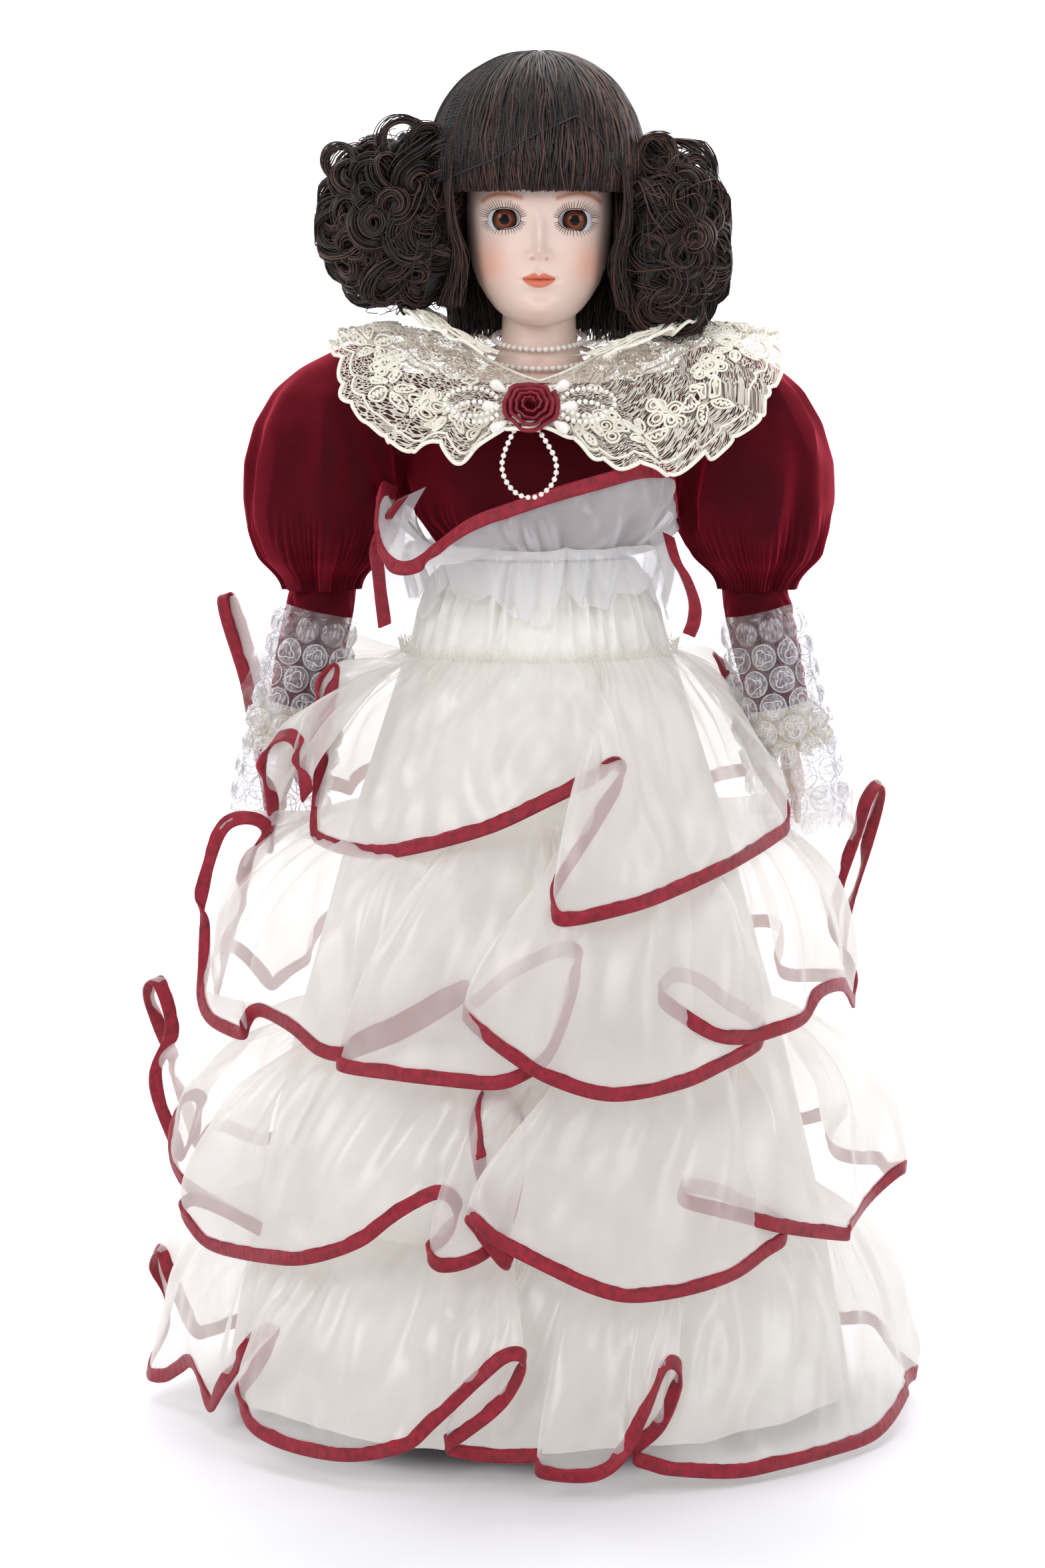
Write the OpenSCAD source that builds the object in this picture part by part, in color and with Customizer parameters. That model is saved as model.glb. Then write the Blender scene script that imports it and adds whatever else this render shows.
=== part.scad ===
// Collectible porcelain doll on its display stand, in a tiered organza dress.
// Frame: +Z up, the doll faces -Y, +X is the doll's own left. Origin on the
// surface it stands on, at the centre of the stand's base. Millimetres.

/* [Stand] */
// Radius of the stand's round base
base_r = 65; // [58:1:72]
// Thickness of the base plate
base_t = 3; // [2.5:0.25:3.25]
// Distance of the post behind the doll's centreline
post_y = 30; // [29.5:0.5:30.5]
// Outer radius of the lower post tube
tube_r = 3.5; // [3.4:0.1:4]
// Radius of the sliding upper rod
rod_r = 2.5; // [2:0.1:2.6]
// Radial running clearance of the rod in the tube
rod_gap = 0.05; // [0.04:0.01:0.1]
// Height of the top of the lower tube
tube_top = 186; // [170:1:200]

/* [Skirt] */
// Half width of the underskirt at its hem
hem_rx = 134; // [128:1:138]
// Half depth of the underskirt at its hem
hem_ry = 112; // [108:1:116]
// Fullness of the flounces, as a share of the usual stand-off
fullness = 1; // [0.9:0.02:1.02]
// Number of folds round a flounce
folds = 12; // [8:1:16]
// Depth of the folds at the hem of a flounce
fold_amp = 0.02; // [0.005:0.005:0.025]
// Width of the satin ribbon on each edge
ribbon_w = 6; // [4:0.5:7]

/* [Jewellery] */
// Radius of one necklace pearl
pearl_r = 1.25; // [1:0.05:1.3]
// Number of pearls on the upper strand
pearls_upper = 44; // [20:1:45]
// Number of pearls on the lower strand
pearls_lower = 50; // [20:1:52]
// Radius of the ribbon rose
rose_r = 11.5; // [9:0.5:12]

/* [Head] */
// Wall thickness of the slip-cast porcelain
wall = 2.4; // [2:0.2:3]
// Sideways distance of each eye from the centreline
eye_x = 14.2; // [13.5:0.1:14.5]
// Radius of a glass eye
eye_r = 7.4; // [7:0.1:7.5]

/* [Limbs] */
// Sideways distance of the hip joints
hip_x = 21; // [20.5:0.5:22]
// Height of the hip joints
hip_z = 304; // [303:0.5:304]
// Height of the shoulder joints
shoulder_z = 430; // [429:1:431]
// Sideways distance of the elbow joints
elbow_x = 92; // [91:0.5:93]
// Height of the elbow joints
elbow_z = 352; // [351:0.5:353]
// Outward lean of the forearms in degrees
forearm_lean = 12.5; // [11:0.5:13]

/* [Hidden] */
$fn = 48;

velvet = [0.33, 0.01, 0.05];
satin = [0.95, 0.93, 0.87];
organza = [0.97, 0.96, 0.93, 0.6];
ribbon_c = [0.62, 0.02, 0.14];
lace = [0.93, 0.89, 0.79];
bisque = [0.93, 0.80, 0.73];
cloth = [0.90, 0.84, 0.76];
hair_c = [0.09, 0.05, 0.045];
pearl_c = [0.94, 0.92, 0.90];
metal = [0.86, 0.86, 0.85];

// ---- shape helpers ----
// A ring is [z, rx, ry, cx, cy, fold depth, fold count]; missing values are 0.
function val(r, k) = len(r) > k ? r[k] : 0;
function ring(r, n) = [for (i = [0:n - 1]) let (a = 360 * i / n,
    w = 1 + val(r, 5) * cos(a * val(r, 6)))
    [val(r, 3) + r[1] * w * cos(a), val(r, 4) + r[2] * w * sin(a), r[0]]];
function wrap(m, n, closed) = [for (k = [0:closed ? m - 1 : m - 2], i = [0:n - 1])
    let (j = (i + 1) % n, q = (k + 1) % m)
    each [[k * n + i, q * n + i, q * n + j], [k * n + i, q * n + j, k * n + j]]];

// Solid through a chain of rings, capped at both ends. A chain that first goes
// down inside and then up outside makes a cup.
module loft(rs, n = 24) {
    m = len(rs);
    polyhedron([for (r = rs) each ring(r, n)], concat(wrap(m, n, false),
        [[for (i = [0:n - 1]) i], [for (i = [n - 1:-1:0]) (m - 1) * n + i]]), convexity = 8);
}
// Open tube through rings: up outside, then back down inside.
module sleeve(rs, n = 32) {
    polyhedron([for (r = rs) each ring(r, n)], wrap(len(rs), n, true), convexity = 10);
}
// The same ring drawn in by d all round, at height dz above.
function inset(r, d, dz = 0) = [r[0] + dz, r[1] - d, r[2] - d, val(r, 3), val(r, 4), val(r, 5), val(r, 6)];
// Tube wall of thickness t from outer rings listed bottom to top.
module skin(rs, t, n = 32) {
    m = len(rs);
    sleeve(concat(rs, [for (k = [m - 1:-1:0]) inset(rs[k], t)]), n);
}
// Cup open downwards, from outer rings listed bottom to top.
module cup(rs, t, n = 24) {
    m = len(rs);
    loft(concat([for (k = [m - 1:-1:0]) let (f = k / (m - 1)) inset(rs[k], t * (1 - 0.6 * f), -t * f)], rs), n);
}
// Round wire along a flat path of [x, y] points at height z.
module wire(path, z, r, n = 8) {
    m = len(path);
    pts = [for (k = [0:m - 1]) let (a = path[max(0, k - 1)], b = path[min(m - 1, k + 1)],
        d = (b - a) / norm(b - a), nn = [-d[1], d[0]], p = path[k]) for (i = [0:n - 1])
        let (t = 360 * i / n) [p[0] + nn[0] * r * cos(t), p[1] + nn[1] * r * cos(t), z + r * sin(t)]];
    polyhedron(pts, concat(wrap(m, n, false),
        [[for (i = [0:n - 1]) i], [for (i = [n - 1:-1:0]) (m - 1) * n + i]]), convexity = 6);
}
// A closed [offset, z] profile carried along part of an ellipse.
module arc_sweep(profile, rx, ry, cx, cy, a0, a1, steps) {
    n = len(profile);
    pts = [for (k = [0:steps]) let (a = a0 + (a1 - a0) * k / steps) for (p = profile)
        [cx + (rx + p[0]) * cos(a), cy + (ry + p[0]) * sin(a), p[1]]];
    polyhedron(pts, concat(wrap(steps + 1, n, false),
        [[for (i = [0:n - 1]) i], [for (i = [n - 1:-1:0]) steps * n + i]]), convexity = 6);
}
// The doll's left (s = 1) or right (s = -1).
module side(s) { if (s > 0) children(); else mirror([1, 0, 0]) children(); }

// ---- stand ----
module base_felt() color("dimgray") cylinder(r = base_r - 2, h = 1);
module stand_base() color(metal) difference() {
    union() {
        translate([0, 0, 1]) rotate_extrude($fn = 96) polygon([[0, 0], [base_r - 0.6, 0],
            [base_r, 0.8], [base_r, base_t - 1.2], [base_r - 1.2, base_t], [0, base_t]]);
        translate([0, post_y, base_t + 0.5]) cylinder(r1 = 8.5, r2 = 6.5, h = 7.5);
    }
    translate([0, post_y, 3]) cylinder(r = tube_r, h = 20);
}
module stand_tube() color(metal) difference() {
    translate([0, post_y, 3]) cylinder(r = tube_r, h = tube_top - 3);
    translate([0, post_y, 5]) cylinder(r = rod_r + rod_gap, h = tube_top);
    translate([0, post_y, tube_top - 8]) rotate([-90, 0, 0]) cylinder(r = 1.56, h = 12);
}
module tube_collar() color(metal) difference() {
    translate([0, post_y, tube_top - 14]) cylinder(r = 6.5, h = 12);
    translate([0, post_y, tube_top - 20]) cylinder(r = tube_r, h = 30);
    translate([0, post_y, tube_top - 8]) rotate([-90, 0, 0]) cylinder(r = 1.56, h = 12);
}
module thumb_screw() color("silver") translate([0, post_y, tube_top - 8]) rotate([-90, 0, 0]) {
    translate([0, 0, rod_r + 0.7]) cylinder(r = 1.5, h = 4.6);
    difference() {
        translate([0, 0, rod_r + 5]) cylinder(r = 5.5, h = 4);
        for (i = [0:9]) rotate([0, 0, 36 * i]) translate([5.9, 0, rod_r + 4]) cylinder(r = 0.8, h = 8, $fn = 16);
    }
}
module stand_rod() color(metal) translate([0, post_y, 0]) union() {
    translate([0, 0, 74]) cylinder(r = rod_r, h = 276);
    translate([0, 0, 339]) cylinder(r = rod_r + 1.2, h = 3.9);
}
module waist_clip() color(metal) {
    difference() {
        translate([-4, 24, 343]) cube([8, 11, 5]);
        translate([0, post_y, 330]) cylinder(r = rod_r + rod_gap, h = 30);
    }
    wire([for (k = [0:26]) let (a = -52 + 284 * k / 26) [32 * cos(a), 23.4 * sin(a)]], 345.5, 1.5);
}

// ---- body ----
module torso() color(cloth) loft([[318.5, 24, 15], [322, 32, 20], [333, 35, 21.5], [345.5, 29, 20],
    [360, 31, 21], [378, 35, 22.5], [396, 37, 22.5, 0, 1], [406, 35, 20, 0, 2], [412, 27, 14, 0, 2]], 28);

plate = [[405, 42, 27, 0, 2], [412, 42.5, 28, 0, 2], [424, 41, 27, 0, 2], [434, 37, 24, 0, 3],
    [441, 30, 20.5, 0, 4], [447, 22, 18, 0, 5], [453, 18, 17, 0, 5], [462, 17, 16.5, 0, 5]];
skull = [[468, 17.5, 20, 0, 1], [473, 21, 27, 0, -2], [480, 25.5, 31, 0, -1], [490, 29, 34, 0, 0],
    [500, 31, 36, 0, 1], [512, 32.5, 38, 0, 3], [525, 33, 39, 0, 4], [538, 32, 38, 0, 5], [548, 28, 34, 0, 6]];
module shoulder_head() color(bisque) difference() {
    skin(concat(plate, skull), wall, 32);
    for (s = [-1, 1]) translate([s * eye_x, -12, 510]) rotate([90, 0, 0]) cylinder(r = eye_r + 0.4, h = 40);
}
module eye(s) color("white") translate([s * eye_x, -22, 510]) sphere(r = eye_r);
module eye_plaster() color("ivory") difference() {
    translate([-23.5, -17, 500]) cube([47, 7, 20]);
    for (s = [-1, 1]) translate([s * eye_x, -22, 510]) sphere(r = eye_r + 0.05);
}
module crown_pate() color("cornsilk") loft([[548.2, 27.5, 33.5, 0, 6], [553, 25, 31, 0, 6.5],
    [558, 20, 25, 0, 7], [562, 12, 15, 0, 7], [563.5, 4, 5, 0, 7]], 24);

// ---- wig ----
module wig_cap() color("black") cup([[533, 34.4, 40.6, 0, 4.7], [541, 33.2, 39.4, 0, 5.3], [549.5, 29.6, 35.6, 0, 6],
    [556, 25.5, 31, 0, 6.6], [562, 16, 19.5, 0, 7], [565, 6, 7, 0, 7]], 0.9, 28);
crown = [[531, 43, 48, 0, 5], [541, 43.5, 48.5, 0, 5.5], [553, 41.5, 47, 0, 6],
    [565, 34.5, 39, 0, 6], [574, 23, 26, 0, 6], [579, 8, 9, 0, 6]];
module wig_crown() color(hair_c) cup(crown, 6, 32);
module hair_net() color("black") cup([for (r = crown) [r[0] + (r[0] > 570 ? 0.9 : r[0] > 560 ? 0.5 : 0.2),
    r[1] + 0.9, r[2] + 0.9, r[3], r[4]]], 0.45, 32);
module wig_fringe() color(hair_c) arc_sweep([[0.5, 531], [0.8, 521], [4, 520.5], [5.8, 525], [6, 530.6], [3, 530.8]],
    33.6, 39.6, 0, 4, 212, 328, 14);
module wig_back() color(hair_c) arc_sweep([[1, 530.5], [9, 530.5], [12, 505], [12, 480], [9, 462], [2, 460],
    [-1, 472], [1, 490], [1.5, 510]], 33.4, 39.4, 0, 4, 34, 146, 14);
module wig_curls_left() color(hair_c) loft([[461, 13, 14, 47, 2], [466, 17.5, 20, 49.5, 2], [474, 21, 24, 53, 0],
    [490, 21, 26, 57, 0], [506, 18.5, 26, 58, 2], [520, 16.5, 22, 54.5, 4], [532, 12, 15, 56.5, 4], [538, 6, 8, 57, 4]], 24);
module wig_curls_right() color(hair_c) loft([[469.5, 14, 14, -58, 2], [475, 20, 20, -60, 2], [486, 24, 24, -62, 0],
    [500, 24, 26, -65, 0], [514, 22.5, 26, -65, 2], [526, 20, 22, -65, 4], [538, 14.5, 15, -62, 4], [546, 7, 8, -58, 4]], 24);

// ---- jewellery ----
module strand(n, rx, ry, z_front, z_back) for (i = [0:n - 1]) let (a = -90 + 360 * i / n)
    translate([rx * cos(a), 5 + ry * sin(a), (z_front + z_back) / 2 + (z_back - z_front) / 2 * sin(a)])
    sphere(r = pearl_r, $fn = 16);
module necklace() color(pearl_c) {
    strand(pearls_upper, 19.2, 18.8, 455.5, 464);
    strand(pearls_lower, 23.2, 21.4, 447.5, 457);
}
// The brooch lies on the slope of the collar, a little to the doll's right.
module on_collar() translate([-4, -48, 431.4]) rotate([60, 0, 0]) children();
module brooch_rose() color(ribbon_c) on_collar() rotate_extrude()
    polygon([[0, 0], [rose_r - 1, 0], [rose_r, 2], [rose_r - 1, 4], [rose_r - 4, 4.4], [rose_r - 4.6, 6],
        [4.6, 6.4], [4, 7.6], [1.6, 7.8], [0, 7]]);
module brooch_pearls() color(pearl_c) for (s = [-1, 1], k = [-1:1])
    on_collar() translate([s * (rose_r + (k == 0 ? 5.2 : 3.6)), k * 7.2, 3.5]) sphere(r = 3.2);
// Loops of small beads at each side of the rose and one that hangs below it.
module bead_loops() color(pearl_c) {
    for (s = [-1, 1], i = [1:13]) let (a = 360 * i / 14)
        on_collar() translate([s * (29.4 - 8 * cos(a)), 6.4 * sin(a), 3.4]) sphere(r = 1.1, $fn = 16);
    for (i = [0:14]) let (a = 180 * i / 14)
        translate([-3 - 9.5 * cos(a), -54.8, 416 - 21 * sin(a)]) sphere(r = 1.2, $fn = 16);
}

// ---- dress ----
module bodice() color(velvet) difference() {
    skin([[368, 37, 31], [385, 41.5, 37], [400, 45.5, 40.5], [415, 48.5, 38.5], [428, 50, 33.5], [440, 46, 29]], 1.5, 36);
    translate([-70, 0, shoulder_z]) rotate([0, 90, 0]) cylinder(r = 18, h = 140);
}
module back_snaps() color("silver") for (z = [380, 396, 412]) translate([0, 36 + (z - 380) * 0.12 + (z > 390 ? 3 : 0.6), z])
    rotate([-90, 0, 0]) cylinder(r = 3, h = 1.2, $fn = 24);
// Rows of the collar from neck to edge: half width, half depth, y centre,
// height at front and back, height at the sides.
collar_rows = [[27, 25, 2, 446, 452], [50, 36, 1, 442.5, 456], [70, 43.5, 0, 433, 461.5], [93, 49, 0, 424.5, 461]];
function collar_row(r, d, n) = [for (i = [0:n - 1]) let (a = 360 * i / n)
    [r[0] * cos(a), r[2] + r[1] * sin(a), r[3] + (r[4] - r[3]) * abs(cos(a)) - d]];
module lace_collar() color(lace) let (n = 48) polyhedron([for (k = [3, 2, 1, 0]) each collar_row(collar_rows[k], 0, n),
    for (k = [0:3]) each collar_row(collar_rows[k], 1.2, n)], wrap(8, n, true), convexity = 10);
module bust_flounce() color(organza) skin([[368.3, 39.4, 33.4], [376, 45, 40], [390, 50, 46.5, 0, 0, 0.01, folds], [407, 52, 50.5, 0, 0, 0.015, folds]], 1.4, 48);
module bust_ribbon() color(ribbon_c) skin([[407.2, 53.2, 51.7, 0, 0, 0.015, folds], [413.2, 53.2, 51.9, 0, 0, 0.015, folds]], 1.5, 48);

// Underskirt silhouette: half width and half depth at a height.
zs = [367.6, 358, 345, 320, 250, 170, 90, 8];
xs = [38, 45, 51, 59, 79, hem_rx - 33, hem_rx - 14, hem_rx];
ys = [32, 39.5, 45, 52, 67, hem_ry - 27, hem_ry - 12, hem_ry];
function at(z, t, k = 0) = z >= zs[k + 1] || k >= len(zs) - 2 ?
    t[k] + (t[k + 1] - t[k]) * (zs[k] - z) / (zs[k] - zs[k + 1]) : at(z, t, k + 1);
module underskirt() color(satin) skin([for (k = [len(zs) - 1:-1:0]) [zs[k], xs[k], ys[k]]], 1.2, 32);
module petticoat() color(satin) skin([for (z = [14, 90, 170, 250, 320]) [z, at(z, xs) - 2.4, at(z, ys) - 2.4]], 1, 32);

// Stand-off of each flounce from the underskirt: height, sideways, in depth.
tiers = [
    [[328, 2, 2], [320, 7, 7], [305, 8.7, 12.8], [288, 12, 19], [270, 11.7, 23], [258, 11.3, 24.7]],
    [[262, 2, 2], [250, 9, 13], [240, 22, 23], [225, 38, 31], [200, 41, 34], [168, 36.5, 33.6]],
    [[174, 2, 2], [166, 10, 10], [150, 24, 25], [125, 31, 31], [100, 31, 32], [82, 30.6, 31]],
    [[92, 2, 2], [84, 9, 10], [60, 22, 23], [30, 28, 28], [3, 29, 28.3]]];
function hem(k) = tiers[k][len(tiers[k]) - 1][0];
function off(t, z, c, i = 0) = z >= t[i + 1][0] || i >= len(t) - 2 ?
    t[i][c] + (t[i + 1][c] - t[i][c]) * (t[i][0] - z) / (t[i][0] - t[i + 1][0]) : off(t, z, c, i + 1);
function tier_ring(k, z, d) = let (t = tiers[k], e = (t[0][0] - z) / (t[0][0] - hem(k)), f = e > 0.02 ? fullness : 1)
    [z, at(z, xs) + off(t, z, 1) * f + d, at(z, ys) + off(t, z, 2) * f + d, 0, 0, fold_amp * e, folds];
module flounce(k) color(organza) skin([for (i = [len(tiers[k]) - 1:-1:0]) tier_ring(k, tiers[k][i][0], 0)], 1.6, 48);
module ribbon(k) color(ribbon_c) skin([tier_ring(k, hem(k) + 0.01, 0.9), tier_ring(k, hem(k) + ribbon_w, 0.9)], 0.7, 48);

module pantaloon_seat() color("white") skin([[320.5, 36.5, 25], [333, 37.2, 25.2], [341, 36, 25]], 1, 28);

// ---- arms ----
module upper_arm(s) color(cloth) side(s) union() {
    translate([45, 0, shoulder_z]) rotate([0, 90, 0]) cylinder(r = 12.6, h = 17);
    translate([62, 0, shoulder_z]) sphere(r = 14.2);
    translate([62, 0, shoulder_z]) rotate([0, 180 - atan2(elbow_x - 62, shoulder_z - elbow_z), 0])
        cylinder(r1 = 10.8, r2 = 9.6, h = norm([elbow_x - 62, shoulder_z - elbow_z]) - 2);
    translate([elbow_x, 0, elbow_z]) sphere(r = 11);
}
// A ring across the puff from x0 to x1.
function puff(z, x0, x1, ry) = [z, (x1 - x0) / 2, ry, (x0 + x1) / 2, 0];
module sleeve_puff(s) color(velvet) side(s) difference() {
    cup([puff(362, 72.5, 113.5, 22), puff(367, 66, 119, 28), puff(378, 60, 123, 33.5), puff(392, 56.5, 124.5, 36),
        puff(408, 55.3, 124, 35.5), puff(424, 55, 119.5, 33.5), puff(438, 55.3, 111, 29.5), puff(448, 57.5, 100, 22),
        puff(455, 62.5, 86, 11)], 1.5, 28);
    translate([50, 0, shoulder_z]) rotate([0, 90, 0]) cylinder(r = 15, h = 20);
}
// Places children along the forearm: local -Z runs from the elbow to the fingertips.
module along_forearm(s) side(s) translate([elbow_x, 0, elbow_z]) rotate([0, -forearm_lean, 0]) children();
module forearm(s) color(bisque) along_forearm(s) union() {
    loft([[-102, 2.2, 3.4, -1], [-99, 3, 5, -1], [-90, 3.6, 7.6], [-79, 4.4, 9.4], [-68, 4.6, 8], [-61, 5, 6.2],
        [-50, 6.6, 7.4], [-36, 9, 9.4], [-22, 10.6, 10.6], [-11.4, 9.6, 9.6]], 20);
    translate([0, -7, -70]) rotate([14, 0, 0]) translate([0, 0, -16]) cylinder(r1 = 1.8, r2 = 2.8, h = 16, $fn = 24);
}
module lower_sleeve(s) color(velvet) along_forearm(s)
    skin([[-50, 13, 13], [-30, 14, 14], [-4, 14.6, 14.6]], 1.3, 28);
module lace_cuff(s) color(lace) along_forearm(s)
    skin([[-69, 18, 18, 0, 0, 0.03, 9], [-60, 15.6, 15.6, 0, 0, 0.02, 9], [-50.4, 13.2, 13.2]], 1.4, 36);
module bubble_wrap(s) color([0.85, 0.88, 0.92, 0.35]) along_forearm(s)
    skin([[-105, 15, 17], [-88, 18, 19.5], [-68, 20.6, 20.6], [-50, 18, 18], [-8, 17, 17]], 1.2, 28);

// ---- legs ----
module thigh(s) color(cloth) translate([s * hip_x, 0, 0]) loft([[156.3, 3, 3], [157.6, 6.5, 6.5], [161, 10, 10], [167, 12, 12],
    [190, 14.5, 14.5], [225, 17, 17], [262, 18.6, 18.6], [290, 17.4, 18], [304, 14, 14], [311, 12, 12], [316, 7.2, 7.2], [318, 2, 2]], 20);
function sole(y, rx, z0, z1) = [y, rx, (z1 - z0) / 2, 0, (z0 + z1) / 2];
foot_rings = [sole(-38, 5, 9.6, 14), sole(-34, 9, 9.2, 17.5), sole(-24, 11, 9.2, 20), sole(-10, 10, 9.2, 29),
    sole(0, 9, 9.2, 33), sole(8, 8.6, 9.2, 31), sole(13, 6, 10, 27)];
// Foot shape grown by d.
module foot(d) rotate([90, 0, 0]) mirror([0, 0, 1]) loft([for (r = foot_rings) [r[0] + (r[0] < -30 ? -d : r[0] > 7 ? d : 0), r[1] + d, r[2] + d, 0, r[4]]], 20);
module lower_leg(s) color(bisque) translate([s * hip_x, 0, 0]) union() {
    loft([[24, 7, 7.4], [36, 7.2, 7.6], [60, 8, 8.6], [95, 10.6, 11.4, 0, 1], [125, 12.2, 13, 0, 1.4], [148, 11.4, 11.6, 0, 0.4], [155.6, 10.4, 10.4]], 20);
    foot(0);
}
module pantaloon(s) color("white") translate([s * hip_x, 0, 0])
    skin([[166, 18, 18.6, 0, 0, 0.06, 7], [180, 18.6, 19.6], [230, 19.9, 22], [272, 20.2, 22], [284, 19.8, 20]], 0.9, 28);
module shoe(s) color([0.96, 0.94, 0.9]) translate([s * hip_x, 0, 0]) difference() {
    union() { foot(1.6); translate([-9.5, -36, 8]) cube([19, 50, 2.2]); }
    foot(0.15);
    translate([-14, -22, 19.5]) cube([28, 60, 30]);
}

base_felt();
stand_base();
stand_tube();
tube_collar();
thumb_screw();
stand_rod();
waist_clip();
torso();
shoulder_head();
eye(1);  // eye_left
eye(-1);  // eye_right
eye_plaster();
crown_pate();
wig_cap();
wig_crown();
wig_fringe();
wig_curls_left();
wig_curls_right();
wig_back();
hair_net();
necklace();
bodice();
back_snaps();
lace_collar();
brooch_rose();
brooch_pearls();
bead_loops();
bust_flounce();
bust_ribbon();
underskirt();
petticoat();
flounce(0);  // flounce_1
flounce(1);  // flounce_2
flounce(2);  // flounce_3
flounce(3);  // flounce_4
ribbon(0);  // ribbon_1
ribbon(1);  // ribbon_2
ribbon(2);  // ribbon_3
ribbon(3);  // ribbon_4
pantaloon_seat();
upper_arm(1);  // upper_arm_left
upper_arm(-1);  // upper_arm_right
sleeve_puff(1);  // sleeve_puff_left
sleeve_puff(-1);  // sleeve_puff_right
forearm(1);  // forearm_left
forearm(-1);  // forearm_right
lower_sleeve(1);  // lower_sleeve_left
lower_sleeve(-1);  // lower_sleeve_right
lace_cuff(1);  // lace_cuff_left
lace_cuff(-1);  // lace_cuff_right
bubble_wrap(1);  // bubble_wrap_left
bubble_wrap(-1);  // bubble_wrap_right
thigh(1);  // thigh_left
thigh(-1);  // thigh_right
lower_leg(1);  // lower_leg_left
lower_leg(-1);  // lower_leg_right
pantaloon(1);  // pantaloon_left
pantaloon(-1);  // pantaloon_right
shoe(1);  // shoe_left
shoe(-1);  // shoe_right
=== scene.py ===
import bpy, math
import numpy as np
from mathutils import Vector, Matrix
from mathutils.bvhtree import BVHTree


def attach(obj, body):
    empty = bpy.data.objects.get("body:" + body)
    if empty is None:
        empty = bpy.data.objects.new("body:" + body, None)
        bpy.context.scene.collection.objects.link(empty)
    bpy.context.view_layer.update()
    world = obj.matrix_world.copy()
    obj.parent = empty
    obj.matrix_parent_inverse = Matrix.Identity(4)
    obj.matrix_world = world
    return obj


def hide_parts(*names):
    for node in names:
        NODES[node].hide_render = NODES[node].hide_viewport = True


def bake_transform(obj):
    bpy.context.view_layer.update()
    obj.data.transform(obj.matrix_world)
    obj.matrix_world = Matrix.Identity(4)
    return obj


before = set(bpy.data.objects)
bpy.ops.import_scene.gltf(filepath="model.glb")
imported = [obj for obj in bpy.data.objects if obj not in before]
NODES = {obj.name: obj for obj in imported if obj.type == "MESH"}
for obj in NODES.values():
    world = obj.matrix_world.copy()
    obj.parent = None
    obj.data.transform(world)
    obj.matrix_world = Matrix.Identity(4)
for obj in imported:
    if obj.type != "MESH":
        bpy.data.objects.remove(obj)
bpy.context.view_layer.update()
rng = np.random.default_rng(711)
MM = 0.001


# ---------------------------------------------------------------- meshes
def mesh_obj(name, verts, faces, mat=None, smooth=True, uv=None, col=None):
    """verts in mm, faces a list or an (n, 4) or (n, 3) array, uv per vertex in mm."""
    me = bpy.data.meshes.new(name)
    V = np.asarray(verts, float) * MM
    if isinstance(faces, np.ndarray):
        nf, k = faces.shape
        me.vertices.add(len(V))
        me.vertices.foreach_set("co", V.ravel())
        me.loops.add(nf * k)
        me.loops.foreach_set("vertex_index", faces.ravel().astype(np.int32))
        me.polygons.add(nf)
        me.polygons.foreach_set("loop_start", np.arange(0, nf * k, k, dtype=np.int32))
        me.update(calc_edges=True)
        me.validate()
    else:
        me.from_pydata([tuple(v) for v in V], [], [tuple(f) for f in faces])
        me.update()
    if smooth:
        me.polygons.foreach_set("use_smooth", np.ones(len(me.polygons), bool))
    li = np.zeros(len(me.loops), dtype=np.int32)
    me.loops.foreach_get("vertex_index", li)
    if uv is not None:
        layer = me.uv_layers.new(name="UVMap")
        layer.data.foreach_set("uv", np.asarray(uv, float)[li].ravel())
    if col is not None:
        at = me.color_attributes.new("Col", "FLOAT_COLOR", "POINT")
        c = np.ones((len(V), 4))
        c[:, :3] = col
        at.data.foreach_set("color", c.ravel())
    ob = bpy.data.objects.new(name, me)
    bpy.context.scene.collection.objects.link(ob)
    if mat is not None:
        me.materials.append(mat)
    return ob


def grid_faces(nu, nv, cu=False, cv=False):
    iu = np.arange(nu if cu else nu - 1)
    iv = np.arange(nv if cv else nv - 1)
    a, b = np.meshgrid(iu, iv, indexing="ij")
    a2 = (a + 1) % nu
    b2 = (b + 1) % nv
    return np.stack([a * nv + b, a2 * nv + b, a2 * nv + b2, a * nv + b2], -1).reshape(-1, 4)


def grid(name, P, cu=False, cv=False, mat=None, uv=None, flip=False, col=None):
    nu, nv = P.shape[:2]
    F = grid_faces(nu, nv, cu, cv)
    if flip:
        F = F[:, ::-1]
    u = None if uv is None else uv.reshape(-1, 2)
    c = None if col is None else col.reshape(-1, 3)
    return mesh_obj(name, P.reshape(-1, 3), F, mat, uv=u, col=c)


def catmull(pts, n=20, closed=False):
    P = np.asarray(pts, float)
    if closed:
        Q = np.vstack([P[-1], P, P[0], P[1]])
    else:
        Q = np.vstack([2 * P[0] - P[1], P, 2 * P[-1] - P[-2]])
    out = []
    t = np.linspace(0, 1, n, endpoint=False)[:, None]
    for i in range(1, len(Q) - 2):
        p0, p1, p2, p3 = Q[i - 1], Q[i], Q[i + 1], Q[i + 2]
        out.append(0.5 * (2 * p1 + (p2 - p0) * t + (2 * p0 - 5 * p1 + 4 * p2 - p3) * t ** 2 + (3 * p1 - p0 - 3 * p2 + p3) * t ** 3))
    out = np.vstack(out)
    if not closed:
        out = np.vstack([out, P[-1]])
    return out


def resample(P, n, closed=False):
    P = np.asarray(P, float)
    Q = np.vstack([P, P[:1]]) if closed else P
    d = np.linalg.norm(np.diff(Q, axis=0), axis=1)
    s = np.concatenate([[0], np.cumsum(d)])
    t = np.linspace(0, s[-1], n + 1)[:-1] if closed else np.linspace(0, s[-1], n)
    return np.stack([np.interp(t, s, Q[:, k]) for k in range(Q.shape[1])], 1)


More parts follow.
